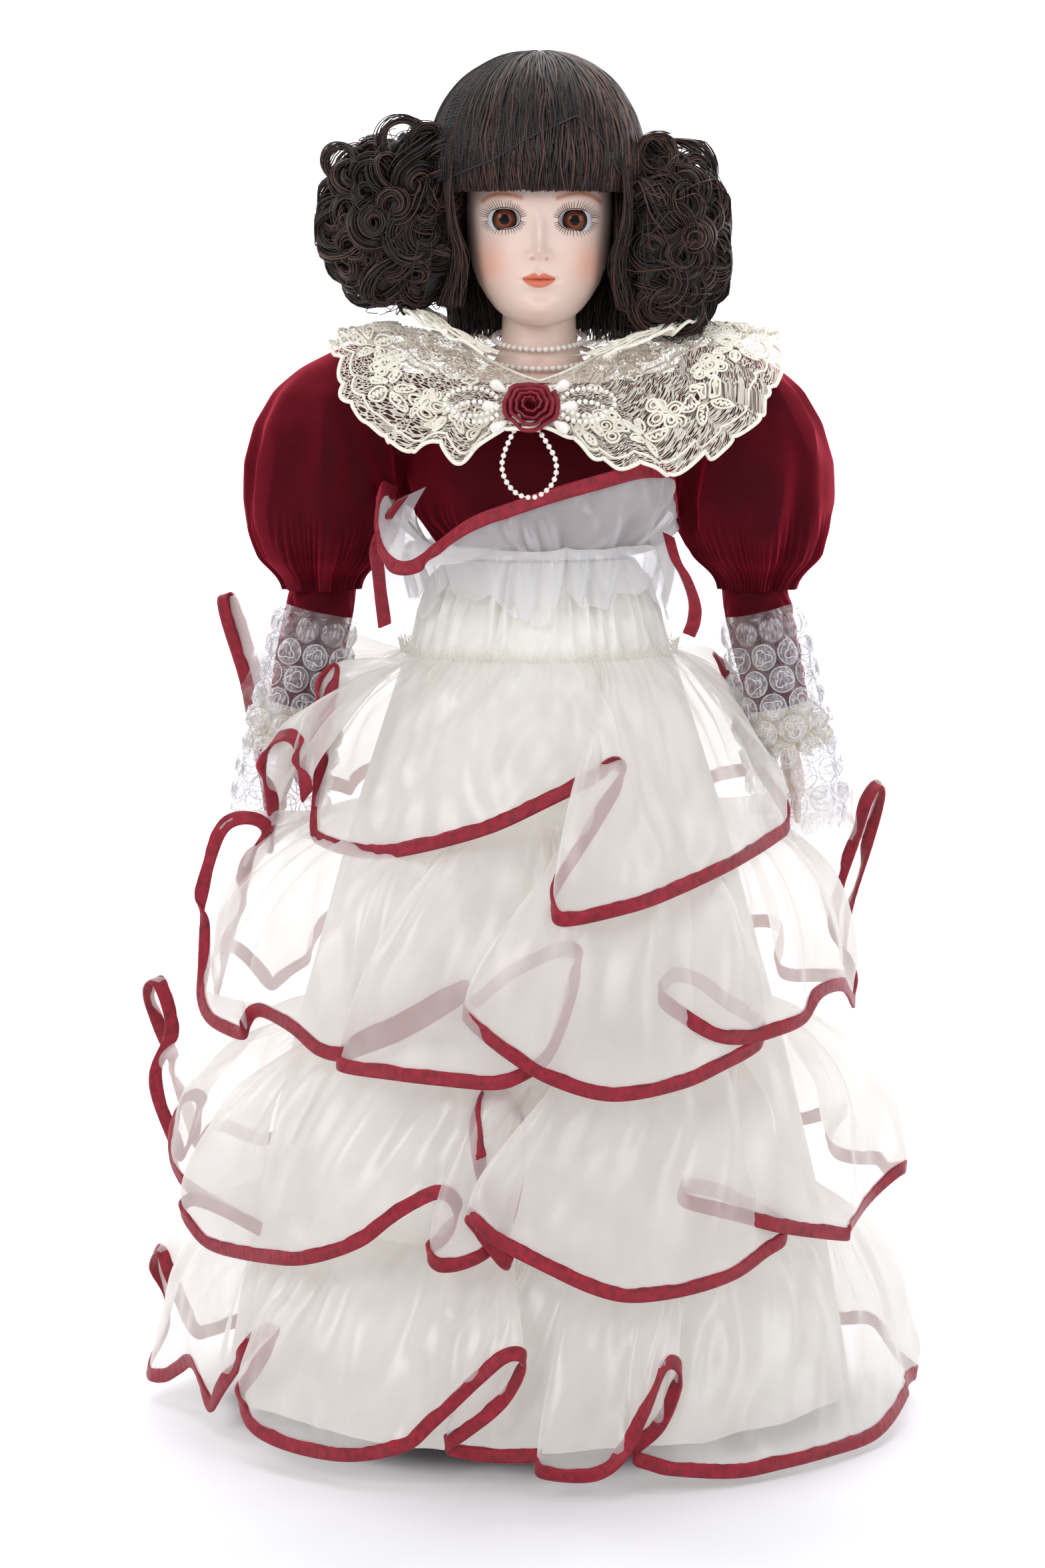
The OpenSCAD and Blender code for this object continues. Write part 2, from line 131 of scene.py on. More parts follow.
def length(P, closed=False):
    Q = np.vstack([P, P[:1]]) if closed else np.asarray(P)
    return float(np.linalg.norm(np.diff(Q, axis=0), axis=1).sum())


def unit(v):
    return v / np.maximum(np.linalg.norm(v, axis=-1, keepdims=True), 1e-9)


def frames(C):
    """parallel-transport frames along (..., n, 3) curves"""
    T = unit(np.gradient(C, axis=-2))
    N = np.zeros_like(T)
    a = np.where(np.abs(T[..., 0, 2:3]) < 0.8, np.array([0, 0, 1.0]), np.array([1.0, 0, 0]))
    N[..., 0, :] = unit(np.cross(T[..., 0, :], a))
    for i in range(1, C.shape[-2]):
        v = N[..., i - 1, :] - (N[..., i - 1, :] * T[..., i, :]).sum(-1, keepdims=True) * T[..., i, :]
        N[..., i, :] = unit(v)
    return T, N, np.cross(T, N)


def tubes(name, C, r, sides=3, mat=None, flat=1.0, cap=False, col=None):
    """C (m, n, 3) mm centre lines, r scalar, (n,) or (m, n) radius."""
    C = np.asarray(C, float)
    if C.ndim == 2:
        C = C[None]
    m, n = C.shape[:2]
    R = np.broadcast_to(np.asarray(r, float), (m, n))[..., None, None]
    T, N, Bn = frames(C)
    a = np.arange(sides) / sides * 2 * math.pi
    P = C[:, :, None, :] + R * (N[:, :, None, :] * np.cos(a)[None, None, :, None] + flat * Bn[:, :, None, :] * np.sin(a)[None, None, :, None])
    F0 = grid_faces(n, sides, False, True)
    F = (F0[None] + (np.arange(m) * n * sides)[:, None, None]).reshape(-1, 4)
    tt = np.broadcast_to(np.linspace(0, 1, n)[None, :, None], (m, n, sides))
    hh = np.broadcast_to(rng.random(m)[:, None, None], (m, n, sides))
    uv = np.stack([hh, tt], -1).reshape(-1, 2)
    V = P.reshape(-1, 3)
    c = None
    if col is not None:
        c = np.broadcast_to(col.reshape(m, -1, 1, 3), (m, n, sides, 3)).reshape(-1, 3)
    if cap and sides > 3:
        ob_f = [tuple(f) for f in F]
        for k in range(m):
            b = k * n * sides
            ob_f.append(tuple(b + j for j in range(sides))[::-1])
            ob_f.append(tuple(b + (n - 1) * sides + j for j in range(sides)))
        return mesh_obj(name, V, ob_f, mat, uv=uv, col=c)
    return mesh_obj(name, V, F, mat, uv=uv, col=c)


def balls(name, C, r, mat=None, nu=12, nv=8, squash=1.0):
    C = np.asarray(C, float)
    r = np.broadcast_to(np.asarray(r, float), (len(C),))
    th = np.arange(nu) / nu * 2 * math.pi
    ph = np.linspace(0.06, math.pi - 0.06, nv)
    S = np.stack([np.outer(np.cos(th), np.sin(ph)), np.outer(np.sin(th), np.sin(ph)), np.broadcast_to(np.cos(ph), (nu, nv)) * squash], -1)
    P = C[:, None, None, :] + r[:, None, None, None] * S[None]
    F0 = grid_faces(nu, nv, True, False)
    F = (F0[None] + (np.arange(len(C)) * nu * nv)[:, None, None]).reshape(-1, 4)
    return mesh_obj(name, P.reshape(-1, 3), F, mat)


def noise1(t, seed, octaves=4, base=1.0, closed=True):
    """smooth periodic noise of the phase t in 0..1, about -1..1"""
    g = np.random.default_rng(seed)
    out = np.zeros_like(t, float)
    tot = 0
    for o in range(octaves):
        for _ in range(2):
            k = max(1, int(round(base * 2 ** o * (0.8 + 0.5 * g.random()))))
            am = 0.6 ** o
            out += am * np.sin(2 * math.pi * (k * t + g.random()))
            tot += am
    return out / tot * 1.6


def noise2(u, v, seed, k=18, fu=1.0, fv=1.0):
    """cheap smooth 2-D noise, u periodic in 0..1"""
    g = np.random.default_rng(seed)
    out = 0
    for _ in range(k):
        ku = int(round(fu * (0.4 + g.random())))
        kv = fv * (g.random() - 0.5) * 2
        out = out + np.sin(2 * math.pi * (ku * u + kv * v + g.random()))
    return out / math.sqrt(k)


def sm(a, b, x):
    t = np.clip((x - a) / (b - a), 0, 1)
    return t * t * (3 - 2 * t)


def rings(zs, rows, z):
    """interpolates a table of rows at z, zs descending"""
    zz = np.asarray(zs, float)[::-1]
    rr = np.asarray(rows, float)[::-1]
    return np.stack([np.interp(z, zz, rr[:, k]) for k in range(rr.shape[1])], -1)


# ---------------------------------------------------------------- materials
class NT:
    def __init__(s, name):
        s.m = bpy.data.materials.new(name)
        s.m.use_nodes = True
        s.t = s.m.node_tree
        s.t.nodes.clear()
        s.out = s.t.nodes.new("ShaderNodeOutputMaterial")

    def n(s, kind, **kw):
        x = s.t.nodes.new("ShaderNode" + kind)
        for k, v in kw.items():
            if k in x.inputs:
                s.set(x.inputs[k], v)
            else:
                setattr(x, k, v)
        return x

    def set(s, sock, v):
        if isinstance(v, bpy.types.NodeSocket):
            s.t.links.new(v, sock)
        else:
            if sock.type == "RGBA" and len(v) == 3:
                v = (*v, 1)
            sock.default_value = v

    def link(s, a, b):
        s.t.links.new(a, b)

    def ramp(s, fac, stops):
        r = s.n("ValToRGB")
        e = r.color_ramp.elements
        while len(e) < len(stops):
            e.new(0.5)
        for el, (p, c) in zip(e, stops):
            el.position = p
            el.color = (*c, 1) if len(c) == 3 else c
        s.link(fac, r.inputs["Fac"])
        return r.outputs["Color"]

    def math(s, op, a, b=0.0):
        x = s.n("Math", operation=op)
        s.set(x.inputs[0], a)
        s.set(x.inputs[1], b)
        return x.outputs[0]


def lin(r, g, b):
    f = lambda c: (c / 255) / 12.92 if c / 255 <= 0.04045 else ((c / 255 + 0.055) / 1.055) ** 2.4
    return (f(r), f(g), f(b))


def basic(name, lo, hi, scale=60, rough=0.5, rough_var=0.06, bump=0.0, bump_scale=400, sheen=0.0, sheen_col=(1, 1, 1), metal=0.0,
          spec=0.5, sss=0.0, sss_col=None, coat=0.0, aniso=0.0, detail=4, coord="Object", stretch=(1, 1, 1), bump_dist=0.0002, trans=0.0):
    k = NT(name)
    tc = k.n("TexCoord")
    mp = k.n("Mapping")
    mp.inputs["Scale"].default_value = stretch
    k.link(tc.outputs[coord], mp.inputs["Vector"])
    nz = k.n("TexNoise", Scale=scale, Detail=detail, Roughness=0.6)
    k.link(mp.outputs[0], nz.inputs["Vector"])
    col = k.ramp(nz.outputs["Fac"], [(0.32, lo), (0.68, hi)])
    p = k.n("BsdfPrincipled")
    k.link(col, p.inputs["Base Color"])
    rr = k.n("MapRange")
    k.link(nz.outputs["Fac"], rr.inputs["Value"])
    rr.inputs["To Min"].default_value = max(0.02, rough - rough_var)
    rr.inputs["To Max"].default_value = min(1, rough + rough_var)
    k.link(rr.outputs["Result"], p.inputs["Roughness"])
    p.inputs["Metallic"].default_value = metal
    p.inputs["Specular IOR Level"].default_value = spec
    p.inputs["Sheen Weight"].default_value = sheen
    p.inputs["Sheen Tint"].default_value = (*sheen_col, 1)
    p.inputs["Coat Weight"].default_value = coat
    p.inputs["Subsurface Weight"].default_value = sss
    p.inputs["Anisotropic"].default_value = aniso
    if sss:
        p.inputs["Subsurface Radius"].default_value = (0.003, 0.0012, 0.0007)
        p.inputs["Subsurface Scale"].default_value = 0.6
    if bump:
        n2 = k.n("TexNoise", Scale=bump_scale, Detail=3)
        k.link(mp.outputs[0], n2.inputs["Vector"])
        bp = k.n("Bump", Strength=bump, Distance=bump_dist)
        k.link(n2.outputs["Fac"], bp.inputs["Height"])
        k.link(bp.outputs[0], p.inputs["Normal"])
    sh = p.outputs[0]
    if trans:
        tr = k.n("BsdfTranslucent")
        k.link(col, tr.inputs["Color"])
        mx = k.n("MixShader", Fac=trans)
        k.link(sh, mx.inputs[1])
        k.link(tr.outputs[0], mx.inputs[2])
        sh = mx.outputs[0]
    k.link(sh, k.out.inputs["Surface"])
    return k.m


def organza_mat(name, lo, hi, base=0.42, edge=0.9):
    """sheer woven cloth: thin threads that let part of the light straight through, denser where seen edge on"""
    k = NT(name)
    tc = k.n("TexCoord")
    nz = k.n("TexNoise", Scale=0.045, Detail=4)
    k.link(tc.outputs["UV"], nz.inputs["Vector"])
    col = k.ramp(nz.outputs["Fac"], [(0.3, lo), (0.7, hi)])
    df = k.n("BsdfDiffuse", Roughness=0.6)
    tl = k.n("BsdfTranslucent")
    gl = k.n("BsdfAnisotropic", Roughness=0.34)
    gl.inputs["Color"].default_value = (0.95, 0.95, 0.97, 1)
    k.link(col, df.inputs["Color"])
    k.link(col, tl.inputs["Color"])
    m1 = k.n("MixShader", Fac=0.5)
    k.link(df.outputs[0], m1.inputs[1])
    k.link(tl.outputs[0], m1.inputs[2])
    m2 = k.n("MixShader", Fac=0.10)
    k.link(m1.outputs[0], m2.inputs[1])
    k.link(gl.outputs[0], m2.inputs[2])
    lw = k.n("LayerWeight", Blend=0.35)
    w1 = k.n("TexWave", Scale=1.9, Distortion=0.6, bands_direction="X")
    w2 = k.n("TexWave", Scale=1.9, Distortion=0.6, bands_direction="Y")
    k.link(tc.outputs["UV"], w1.inputs["Vector"])
    k.link(tc.outputs["UV"], w2.inputs["Vector"])
    wv = k.math("MULTIPLY", k.math("ADD", w1.outputs["Fac"], w2.outputs["Fac"]), 0.12)
    f = k.math("ADD", k.math("MULTIPLY", lw.outputs["Facing"], edge - base), base - 0.12)
    f = k.math("ADD", f, wv)
    f2 = k.n("Clamp")
    k.link(f, f2.inputs["Value"])
    f2.inputs["Max"].default_value = 0.97
    tp = k.n("BsdfTransparent")
    m3 = k.n("MixShader")
    k.link(f2.outputs[0], m3.inputs["Fac"])
    k.link(tp.outputs[0], m3.inputs[1])
    k.link(m2.outputs[0], m3.inputs[2])
    k.link(m3.outputs[0], k.out.inputs["Surface"])
    return k.m


def satin_mat(name, lo, hi, rough=0.34, sc=0.08, wrink=0.5):
    """smooth satin: soft lengthwise sheen and fine creases across"""
    k = NT(name)
    tc = k.n("TexCoord")
    nz = k.n("TexNoise", Scale=sc, Detail=4)
    k.link(tc.outputs["UV"], nz.inputs["Vector"])
    col = k.ramp(nz.outputs["Fac"], [(0.3, lo), (0.72, hi)])
    p = k.n("BsdfPrincipled")
    k.link(col, p.inputs["Base Color"])
    p.inputs["Roughness"].default_value = rough
    rr = k.n("MapRange")
    n3 = k.n("TexNoise", Scale=0.5, Detail=2)
    k.link(tc.outputs["UV"], n3.inputs["Vector"])
    k.link(n3.outputs["Fac"], rr.inputs["Value"])
    rr.inputs["To Min"].default_value = rough - 0.06
    rr.inputs["To Max"].default_value = rough + 0.1
    k.link(rr.outputs["Result"], p.inputs["Roughness"])
    p.inputs["Sheen Weight"].default_value = 0.05
    p.inputs["Specular IOR Level"].default_value = 0.42
    mp = k.n("Mapping")
    mp.inputs["Scale"].default_value = (0.22, 0.05, 1)
    k.link(tc.outputs["UV"], mp.inputs["Vector"])
    n2 = k.n("TexNoise", Scale=2.2, Detail=4)
    k.link(mp.outputs[0], n2.inputs["Vector"])
    w = k.n("TexWave", Scale=2.6, Distortion=0.4, bands_direction="Y")
    k.link(tc.outputs["UV"], w.inputs["Vector"])
    h = k.math("ADD", k.math("MULTIPLY", n2.outputs["Fac"], wrink), k.math("MULTIPLY", w.outputs["Fac"], 0.05))
    bp = k.n("Bump", Strength=0.5, Distance=0.0012)
    k.link(h, bp.inputs["Height"])
    k.link(bp.outputs[0], p.inputs["Normal"])
    k.link(p.outputs[0], k.out.inputs["Surface"])
    return k.m


def velvet_mat(name):
    """dark at a glance, lit along its edges and where the pile is brushed"""
    k = NT(name)
    tc = k.n("TexCoord")
    nz = k.n("TexNoise", Scale=26, Detail=5, Roughness=0.65)
    k.link(tc.outputs["Object"], nz.inputs["Vector"])
    lw = k.n("LayerWeight", Blend=0.42)
    f = k.math("ADD", k.math("MULTIPLY", lw.outputs["Facing"], 0.8), k.math("MULTIPLY", nz.outputs["Fac"], 0.30))
    col = k.ramp(f, [(0.12, lin(62, 6, 16)), (0.55, lin(106, 8, 26)), (0.95, lin(160, 20, 48))])
    p = k.n("BsdfPrincipled", Roughness=0.9)
    k.link(col, p.inputs["Base Color"])
    p.inputs["Specular IOR Level"].default_value = 0.1
    p.inputs["Sheen Weight"].default_value = 0.42
    p.inputs["Sheen Roughness"].default_value = 0.35
    p.inputs["Sheen Tint"].default_value = (*lin(205, 60, 85), 1)
    n2 = k.n("TexNoise", Scale=1400, Detail=2)
    k.link(tc.outputs["Object"], n2.inputs["Vector"])
    bp = k.n("Bump", Strength=0.35, Distance=0.0003)
    k.link(n2.outputs["Fac"], bp.inputs["Height"])
    k.link(bp.outputs[0], p.inputs["Normal"])
    k.link(p.outputs[0], k.out.inputs["Surface"])
    return k.m


M_ORG = organza_mat("organza_ivory", lin(242, 238, 234), lin(254, 252, 249), 0.53, 0.95)
M_ORG2 = organza_mat("organza_bust", lin(240, 240, 242), lin(254, 254, 254), 0.60, 0.96)
M_SATIN = satin_mat("satin_cream", lin(236, 233, 224), lin(252, 250, 244), 0.36)
M_RIB = satin_mat("ribbon_wine", lin(112, 0, 24), lin(166, 5, 42), 0.36, sc=0.3, wrink=0.8)
M_VELVET = velvet_mat("velvet_wine")


# ---------------------------------------------------------------- skirt
SK_Z = [367.6, 358, 345, 320, 250, 170, 90, 8]
SK = [[38, 32], [45, 39.5], [51, 45], [59, 52], [79, 67], [101, 85], [120, 100], [134, 112]]
OUT = {
    1: ([328, 320, 305, 288, 270, 258], [[2, 2], [7, 7], [8.7, 12.8], [12, 19], [11.7, 23], [11.3, 24.7]]),
    2: ([262, 250, 240, 225, 200, 168], [[2, 2], [9, 13], [22, 23], [38, 31], [41, 34], [36.5, 33.6]]),
    3: ([174, 166, 150, 125, 100, 82], [[2, 2], [10, 10], [24, 25], [31, 31], [31, 32], [30.6, 31]]),
    4: ([92, 84, 60, 30, 3], [[2, 2], [9, 10], [22, 23], [28, 28], [29, 28.3]]),
}

# the front of each flounce's hem, from the doll's right side round to the doll's left, in mm
HEM = {
    1: [(-104,38,262),(-120,36,296),(-134,34,340),(-139,33,348),(-138,32,338),(-130,30,312),(-126,28,292),(-119,22,258),(-117,0,243),(-113,-24,246),(-115,-34,273),(-114,-34,289),(-106,-40,294),(-101,-42,288),(-99,-44,268),(-97,-30,284),(-94,-24,308),(-86,-20,321),(-90,-26,312),(-93,-30,296),(-95,-32,271),(-96,-34,256),(-93,-38,250),(-76,-60,248),(-57,-78,251),(-22,-92,262),(4,-93,274),(23,-88,283),(31,-84,288),(33,-86,281),(24,-97,266),(8,-108,243),(5,-114,235),(9,-118,229),(36,-115,234),(55,-104,239),(79,-79,246),(99,-46,252),(105,-32,256),(100,-20,266),(93,-8,276),(87,-5,290),(90,0,297),(96,4,283),(90,8,300),(83,12,316),(79,16,322),(82,20,312),(90,24,296),(95,30,280),(94,40,268)],
    2: [(-120,-30,247),(-116,-32,254),(-122,-34,258),(-131,-34,255),(-137,-32,241),(-140,-30,228),(-143,-30,215),(-144,-32,197),(-144,-36,182),(-138,-46,174),(-123,-62,171),(-121,-60,176),(-116,-66,182),(-102,-85,179),(-91,-96,172),(-80,-104,171),(-76,-98,174),(-54,-98,185),(-31,-99,198),(-30,-99,195),(-54,-99,180),(-78,-98,170),(-81,-105,167),(-60,-116,166),(-41,-122,165),(-18,-126,164),(-7,-124,167),(4,-118,174),(12,-110,191),(16,-104,207),(11,-101,214),(-9,-103,206),(-27,-110,193),(-30,-118,190),(-15,-126,178),(4,-130,167),(29,-129,160),(57,-120,163),(76,-108,169),(87,-99,173),(91,-92,176),(87,-88,183),(76,-90,190),(64,-95,200),(55,-99,203),(51,-105,201),(48,-112,196),(57,-114,189),(70,-111,181),(82,-104,178),(95,-95,179),(109,-81,182),(117,-67,190),(128,-43,188),(134,-24,177),(134,-12,182),(129,-2,205),(131,4,222),(138,6,244),(144,8,262),(148,9,268),(149,10,262),(145,12,244),(137,16,216),(134,24,192),(138,36,176)],
    3: [(-160,10,144),(-166,0,162),(-170,-8,180),(-166,-12,186),(-161,-14,174),(-160,-15,164),(-165,-15,153),(-167,-16,146),(-166,-18,137),(-160,-22,122),(-154,-18,108),(-149,-18,125),(-146,-20,134),(-150,-28,138),(-155,-34,133),(-157,-38,122),(-155,-42,111),(-147,-50,102),(-131,-58,94),(-116,-70,89),(-130,-60,94),(-145,-52,98),(-150,-51,95),(-149,-55,91),(-137,-66,82),(-108,-99,85),(-91,-111,89),(-72,-120,98),(-60,-123,108),(-50,-125,115),(-40,-128,120),(-35,-129,116),(-34,-129,109),(-38,-128,101),(-45,-129,96),(-41,-133,91),(-30,-132,92),(-19,-127,97),(-11,-121,108),(-7,-116,124),(-7,-109,142),(-12,-105,153),(-21,-105,156),(-26,-112,154),(-28,-120,146),(-26,-126,131),(-21,-123,115),(-15,-124,95),(-12,-126,90),(-16,-129,92),(-26,-132,106),(-30,-133,112),(-28,-136,112),(-17,-140,103),(2,-141,93),(21,-141,84),(37,-139,80),(59,-132,81),(79,-122,85),(92,-111,91),(101,-100,95),(92,-97,103),(73,-104,114),(59,-113,119),(56,-120,119),(58,-123,115),(79,-117,108),(99,-106,100),(127,-80,90)],
    4: [(-168,18,58),(-172,24,50),(-166,28,36),(-164,18,24),(-170,2,13),(-170,-8,9),(-162,-18,11),(-154,-28,18),(-149,-36,23),(-145,-44,19),(-142,-50,11),(-139,-56,9),(-134,-62,18),(-126,-72,32),(-117,-75,45),(-112,-80,49),(-111,-87,45),(-118,-89,33),(-124,-92,25),(-119,-101,15),(-103,-115,11),(-78,-129,11),(-54,-138,18),(-42,-141,29),(-24,-143,47),(-12,-143,57),(-6,-141,53),(-14,-140,37),(-30,-138,23),(-38,-133,16),(-30,-132,13),(-17,-134,12),(-1,-137,13),(0,-142,14),(-1,-146,10),(15,-147,8),(26,-147,10),(35,-146,18),(43,-144,34),(51,-138,52),(57,-134,45),(50,-135,26),(37,-137,14),(45,-138,10),(53,-138,8),(79,-129,4),(99,-117,4),(119,-101,4),(138,-82,4),(149,-64,7),(158,-40,12)],
}
BACK = {1: (99, 104, 262, 9, 6), 2: (142, 128, 176, 8, 9), 3: (156, 136, 96, 9, 9), 4: (162, 138, 8, 9, 9)}


def hem_loop(k, n):
    """the listed front joined to a waved back, as one closed curve"""
    F = np.array(HEM[k], float)
    a0 = math.atan2(F[-1][1], F[-1][0])
    a1 = math.atan2(F[0][1], F[0][0]) + (2 * math.pi if F[0][1] < 0 else 0)
    if a1 < a0:
        a1 += 2 * math.pi
    rx, ry, z0, waves, amp = BACK[k]
    m = 64
    t = np.linspace(0, 1, m + 2)[1:-1]
    a = a0 + (a1 - a0) * t
    ph = k * 1.3
    w = np.sin(2 * math.pi * waves * 0.55 * t + ph) + 0.5 * np.sin(2 * math.pi * waves * 1.1 * t + 2 * ph)
    fd = np.sin(math.pi * np.clip(t, 0, 1)) ** 0.35
    swing = 0.055 * np.sin(2 * math.pi * waves * 1.1 * t + ph) * fd
    aa = a + swing
    rr = 1 - 0.035 * fd + 0.045 * w * fd * (amp / 8)
    up = np.abs(np.sin(math.pi * waves * 0.55 * t + ph)) ** 2
    z = z0 + fd * (amp * 0.9 * w * (0 if k == 4 else 1) + (up * 16 if k == 4 else up * 10))
    b = np.stack([rx * rr * np.cos(aa), ry * rr * np.sin(aa), z], 1)
    e = sm(0, 0.06, t)[:, None]
    e2 = sm(0, 0.06, 1 - t)[:, None]
    b = b * e + (F[-1] + (b - b[0])) * (1 - e)
    b = b * e2 + (F[0] + (b - b[-1])) * (1 - e2)
    P = catmull(np.vstack([F, b]), 12, closed=True)
    P = resample(P, n, closed=True)
    for _ in range(2):
        P = 0.5 * P + 0.25 * (np.roll(P, 1, 0) + np.roll(P, -1, 0))
    if k == 4:
        P[:, 2] = np.maximum(P[:, 2], 1.2)
    return P


def monotone(x, w=None):
    """nearest rising sequence"""
    lev, cnt = [], []
    for v in x:
        lev.append(float(v)); cnt.append(1)
        while len(lev) > 1 and lev[-2] > lev[-1]:
            s = (lev[-2] * cnt[-2] + lev[-1] * cnt[-1]) / (cnt[-2] + cnt[-1])
            c = cnt[-2] + cnt[-1]
            lev.pop(); cnt.pop()
            lev[-1] = s; cnt[-1] = c
    return np.concatenate([np.full(c, l) for l, c in zip(lev, cnt)])


def seam_angle(H, rx, ry):
    n = len(H)
    a = np.unwrap(np.arctan2(H[:, 1] / ry, H[:, 0] / rx))
    lin_ = a[0] + np.arange(n) / n * 2 * math.pi
    m = monotone(a)
    m = np.clip(m, a[0] - 0.3, a[0] + 2 * math.pi + 0.3)
    d = 0.80 * (m - lin_)
    k = max(3, n // 40)
    ker = np.hanning(2 * k + 1); ker /= ker.sum()
    d = np.convolve(np.concatenate([d[-k:], d, d[:k]]), ker, "valid")
    t = lin_ + d
    return np.maximum.accumulate(t)


def flounce(k):
    zs0 = OUT[k][0][0]
    nu = 1000
    nv = 54
    H = hem_loop(k, nu)
    sx, sy = rings(SK_Z, SK, zs0) + OUT[k][1][0]
    th = seam_angle(H, BACK[k][0], BACK[k][1])
    S = np.stack([sx * np.cos(th), sy * np.sin(th), np.full(nu, zs0 - 0.5)], 1)
    u = np.arange(nu) / nu
    v = np.linspace(0, 1, nv)
    out = np.stack([np.cos(th), np.sin(th), 0 * th], 1)
    drop = (zs0 - H[:, 2])
    gap = np.linalg.norm(H[:, :2], axis=1) - np.linalg.norm(S[:, :2], axis=1)
    puff = {1: 0.9, 2: 2.5, 3: 2.1, 4: 1.9}[k]
    T0 = out * (np.clip(gap, 8, 60) * puff)[:, None] + np.array([0, 0, -1.0]) * (drop * 0.35)[:, None]
    Ho = unit(H * np.array([1, 1, 0]))
    T1 = np.array([0, 0, -1.0]) * (np.clip(drop, 22, 200) * 1.25)[:, None] + Ho * 3
    V = v[None, :, None]
    h00 = 2 * V ** 3 - 3 * V ** 2 + 1
    h10 = V ** 3 - 2 * V ** 2 + V
    h01 = -2 * V ** 3 + 3 * V ** 2
    h11 = V ** 3 - V ** 2
    P = h00 * S[:, None] + h10 * T0[:, None] + h01 * H[:, None] + h11 * T1[:, None]
    # gathers: tight at the seam, opening into soft folds lower down
    uu = u[:, None] + 0 * v[None]
    vv = v[None] + 0 * u[:, None]
    g1 = np.sin(2 * math.pi * (118 * uu + 1.2 * noise1(uu, 40 + k, 3, 3))) * (0.9 + 0.5 * noise1(uu, 50 + k, 3, 6))
    g2 = np.sin(2 * math.pi * (47 * uu + 1.5 * noise1(uu, 60 + k, 3, 2) + 0.25 * vv))
    g3 = np.sin(2 * math.pi * (19 * uu + 1.1 * noise1(uu, 70 + k, 3, 2) - 0.2 * vv))
    fade = 1 - sm(0.86, 1.0, vv)
    disp = 1.1 * g1 * np.exp(-((vv - 0.05) / 0.16) ** 2) + 1.7 * g2 * sm(0.02, 0.25, vv) * (1 - sm(0.35, 0.9, vv)) + 3.0 * g3 * sm(0.12, 0.45, vv) * fade
    disp += 0.9 * noise2(uu, vv, 80 + k, 20, 60, 3) * sm(0.1, 0.4, vv) * fade
    Nn = unit(P * np.array([1, 1, 0]))
    P = P + Nn * disp[..., None]
    # keeps the cloth off the underskirt
    r = rings(SK_Z, SK, P[..., 2])
    q = np.sqrt((P[..., 0] / (r[..., 0] + 1.2)) ** 2 + (P[..., 1] / (r[..., 1] + 1.2)) ** 2)
    P[..., :2] /= np.minimum(q, 1)[..., None]
    if k == 4:
        P[..., 2] = np.maximum(P[..., 2], 1.0)
    su = np.concatenate([[0], np.cumsum(np.linalg.norm(np.diff(H, axis=0), axis=1))])
    uv = np.stack([su[:, None] + 0 * vv, vv * drop.mean()], -1)
    name = f"flounce_{k}_organza"
    ob = grid(name, P, cu=True, mat=M_ORG, uv=uv, flip=True)
    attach(ob, "doll"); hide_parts(f"flounce_{k}")
    # ribbon binding: a flat tube 6 mm wide folded over the hem
    w = 6.0
    seg = np.linalg.norm(np.diff(P, axis=1), axis=2)
    cum = np.cumsum(seg[:, ::-1], axis=1)
    nb = 6
    R = np.zeros((nu, nb, 3))
    for j in range(nb):
        d = w * j / (nb - 1)
        idx = np.argmax(cum > d, axis=1)
        prev = np.where(idx > 0, cum[np.arange(nu), np.maximum(idx - 1, 0)], 0)
        f = np.clip((d - prev) / np.maximum(cum[np.arange(nu), idx] - prev, 1e-6), 0, 1)
        a = P[np.arange(nu), nv - 1 - idx]
        b = P[np.arange(nu), nv - 2 - idx]
        R[:, j] = a + (b - a) * f[:, None]
    # direction across the ribbon kept near constant so sharp turns don't pinch it
    tang = unit(np.roll(H, -1, 0) - np.roll(H, 1, 0))
    acr = unit(R[:, -1] - R[:, 0])
    acr = unit(acr - (acr * tang).sum(1, keepdims=True) * tang * 0.85)
    kk = 5
    ker = np.hanning(2 * kk + 1); ker /= ker.sum()
    acr = np.stack([np.convolve(np.concatenate([acr[-kk:, c], acr[:, c], acr[:kk, c]]), ker, "valid") for c in range(3)], 1)
    acr = unit(acr)
    nor = unit(np.cross(tang, acr))
    nor = np.stack([np.convolve(np.concatenate([nor[-kk:, c], nor[:, c], nor[:kk, c]]), ker, "valid") for c in range(3)], 1)
    nor = unit(nor)
    ww = w + 0.35 * noise1(u, 90 + k, 3, 60)
    s = su / su[-1]
    crimp = 0.10 * np.sin(2 * math.pi * su / 5.3 + 2.5 * noise1(s, 95 + k, 3, 9)) + 0.08 * noise1(s, 96 + k, 3, 30)
    prof = [(0.0, 0.0), (0.03, 0.55), (0.2, 0.80), (0.5, 0.68), (0.8, 0.80), (1.0, 0.7), (1.0, -0.7), (0.8, -0.80), (0.5, -0.68), (0.2, -0.80), (0.03, -0.55)]
    Q = np.stack([H - acr * 0.5 + acr * (a_ * ww)[:, None] + nor * (b_ + crimp * math.sin(math.pi * min(1, a_ + 0.1)))[:, None] for a_, b_ in prof], 1)
    if k == 4:
        Q[..., 2] = np.maximum(Q[..., 2], 0.6)
    uvr = np.stack([su[:, None] + np.zeros((nu, len(prof))), np.array([p[0] for p in prof])[None] * w + np.zeros((nu, 1))], -1)
    rb = grid(f"ribbon_{k}_satin", Q, cu=True, cv=True, mat=M_RIB, uv=uvr)
    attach(rb, "doll"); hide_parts(f"ribbon_{k}")
    return ob, rb, P, H


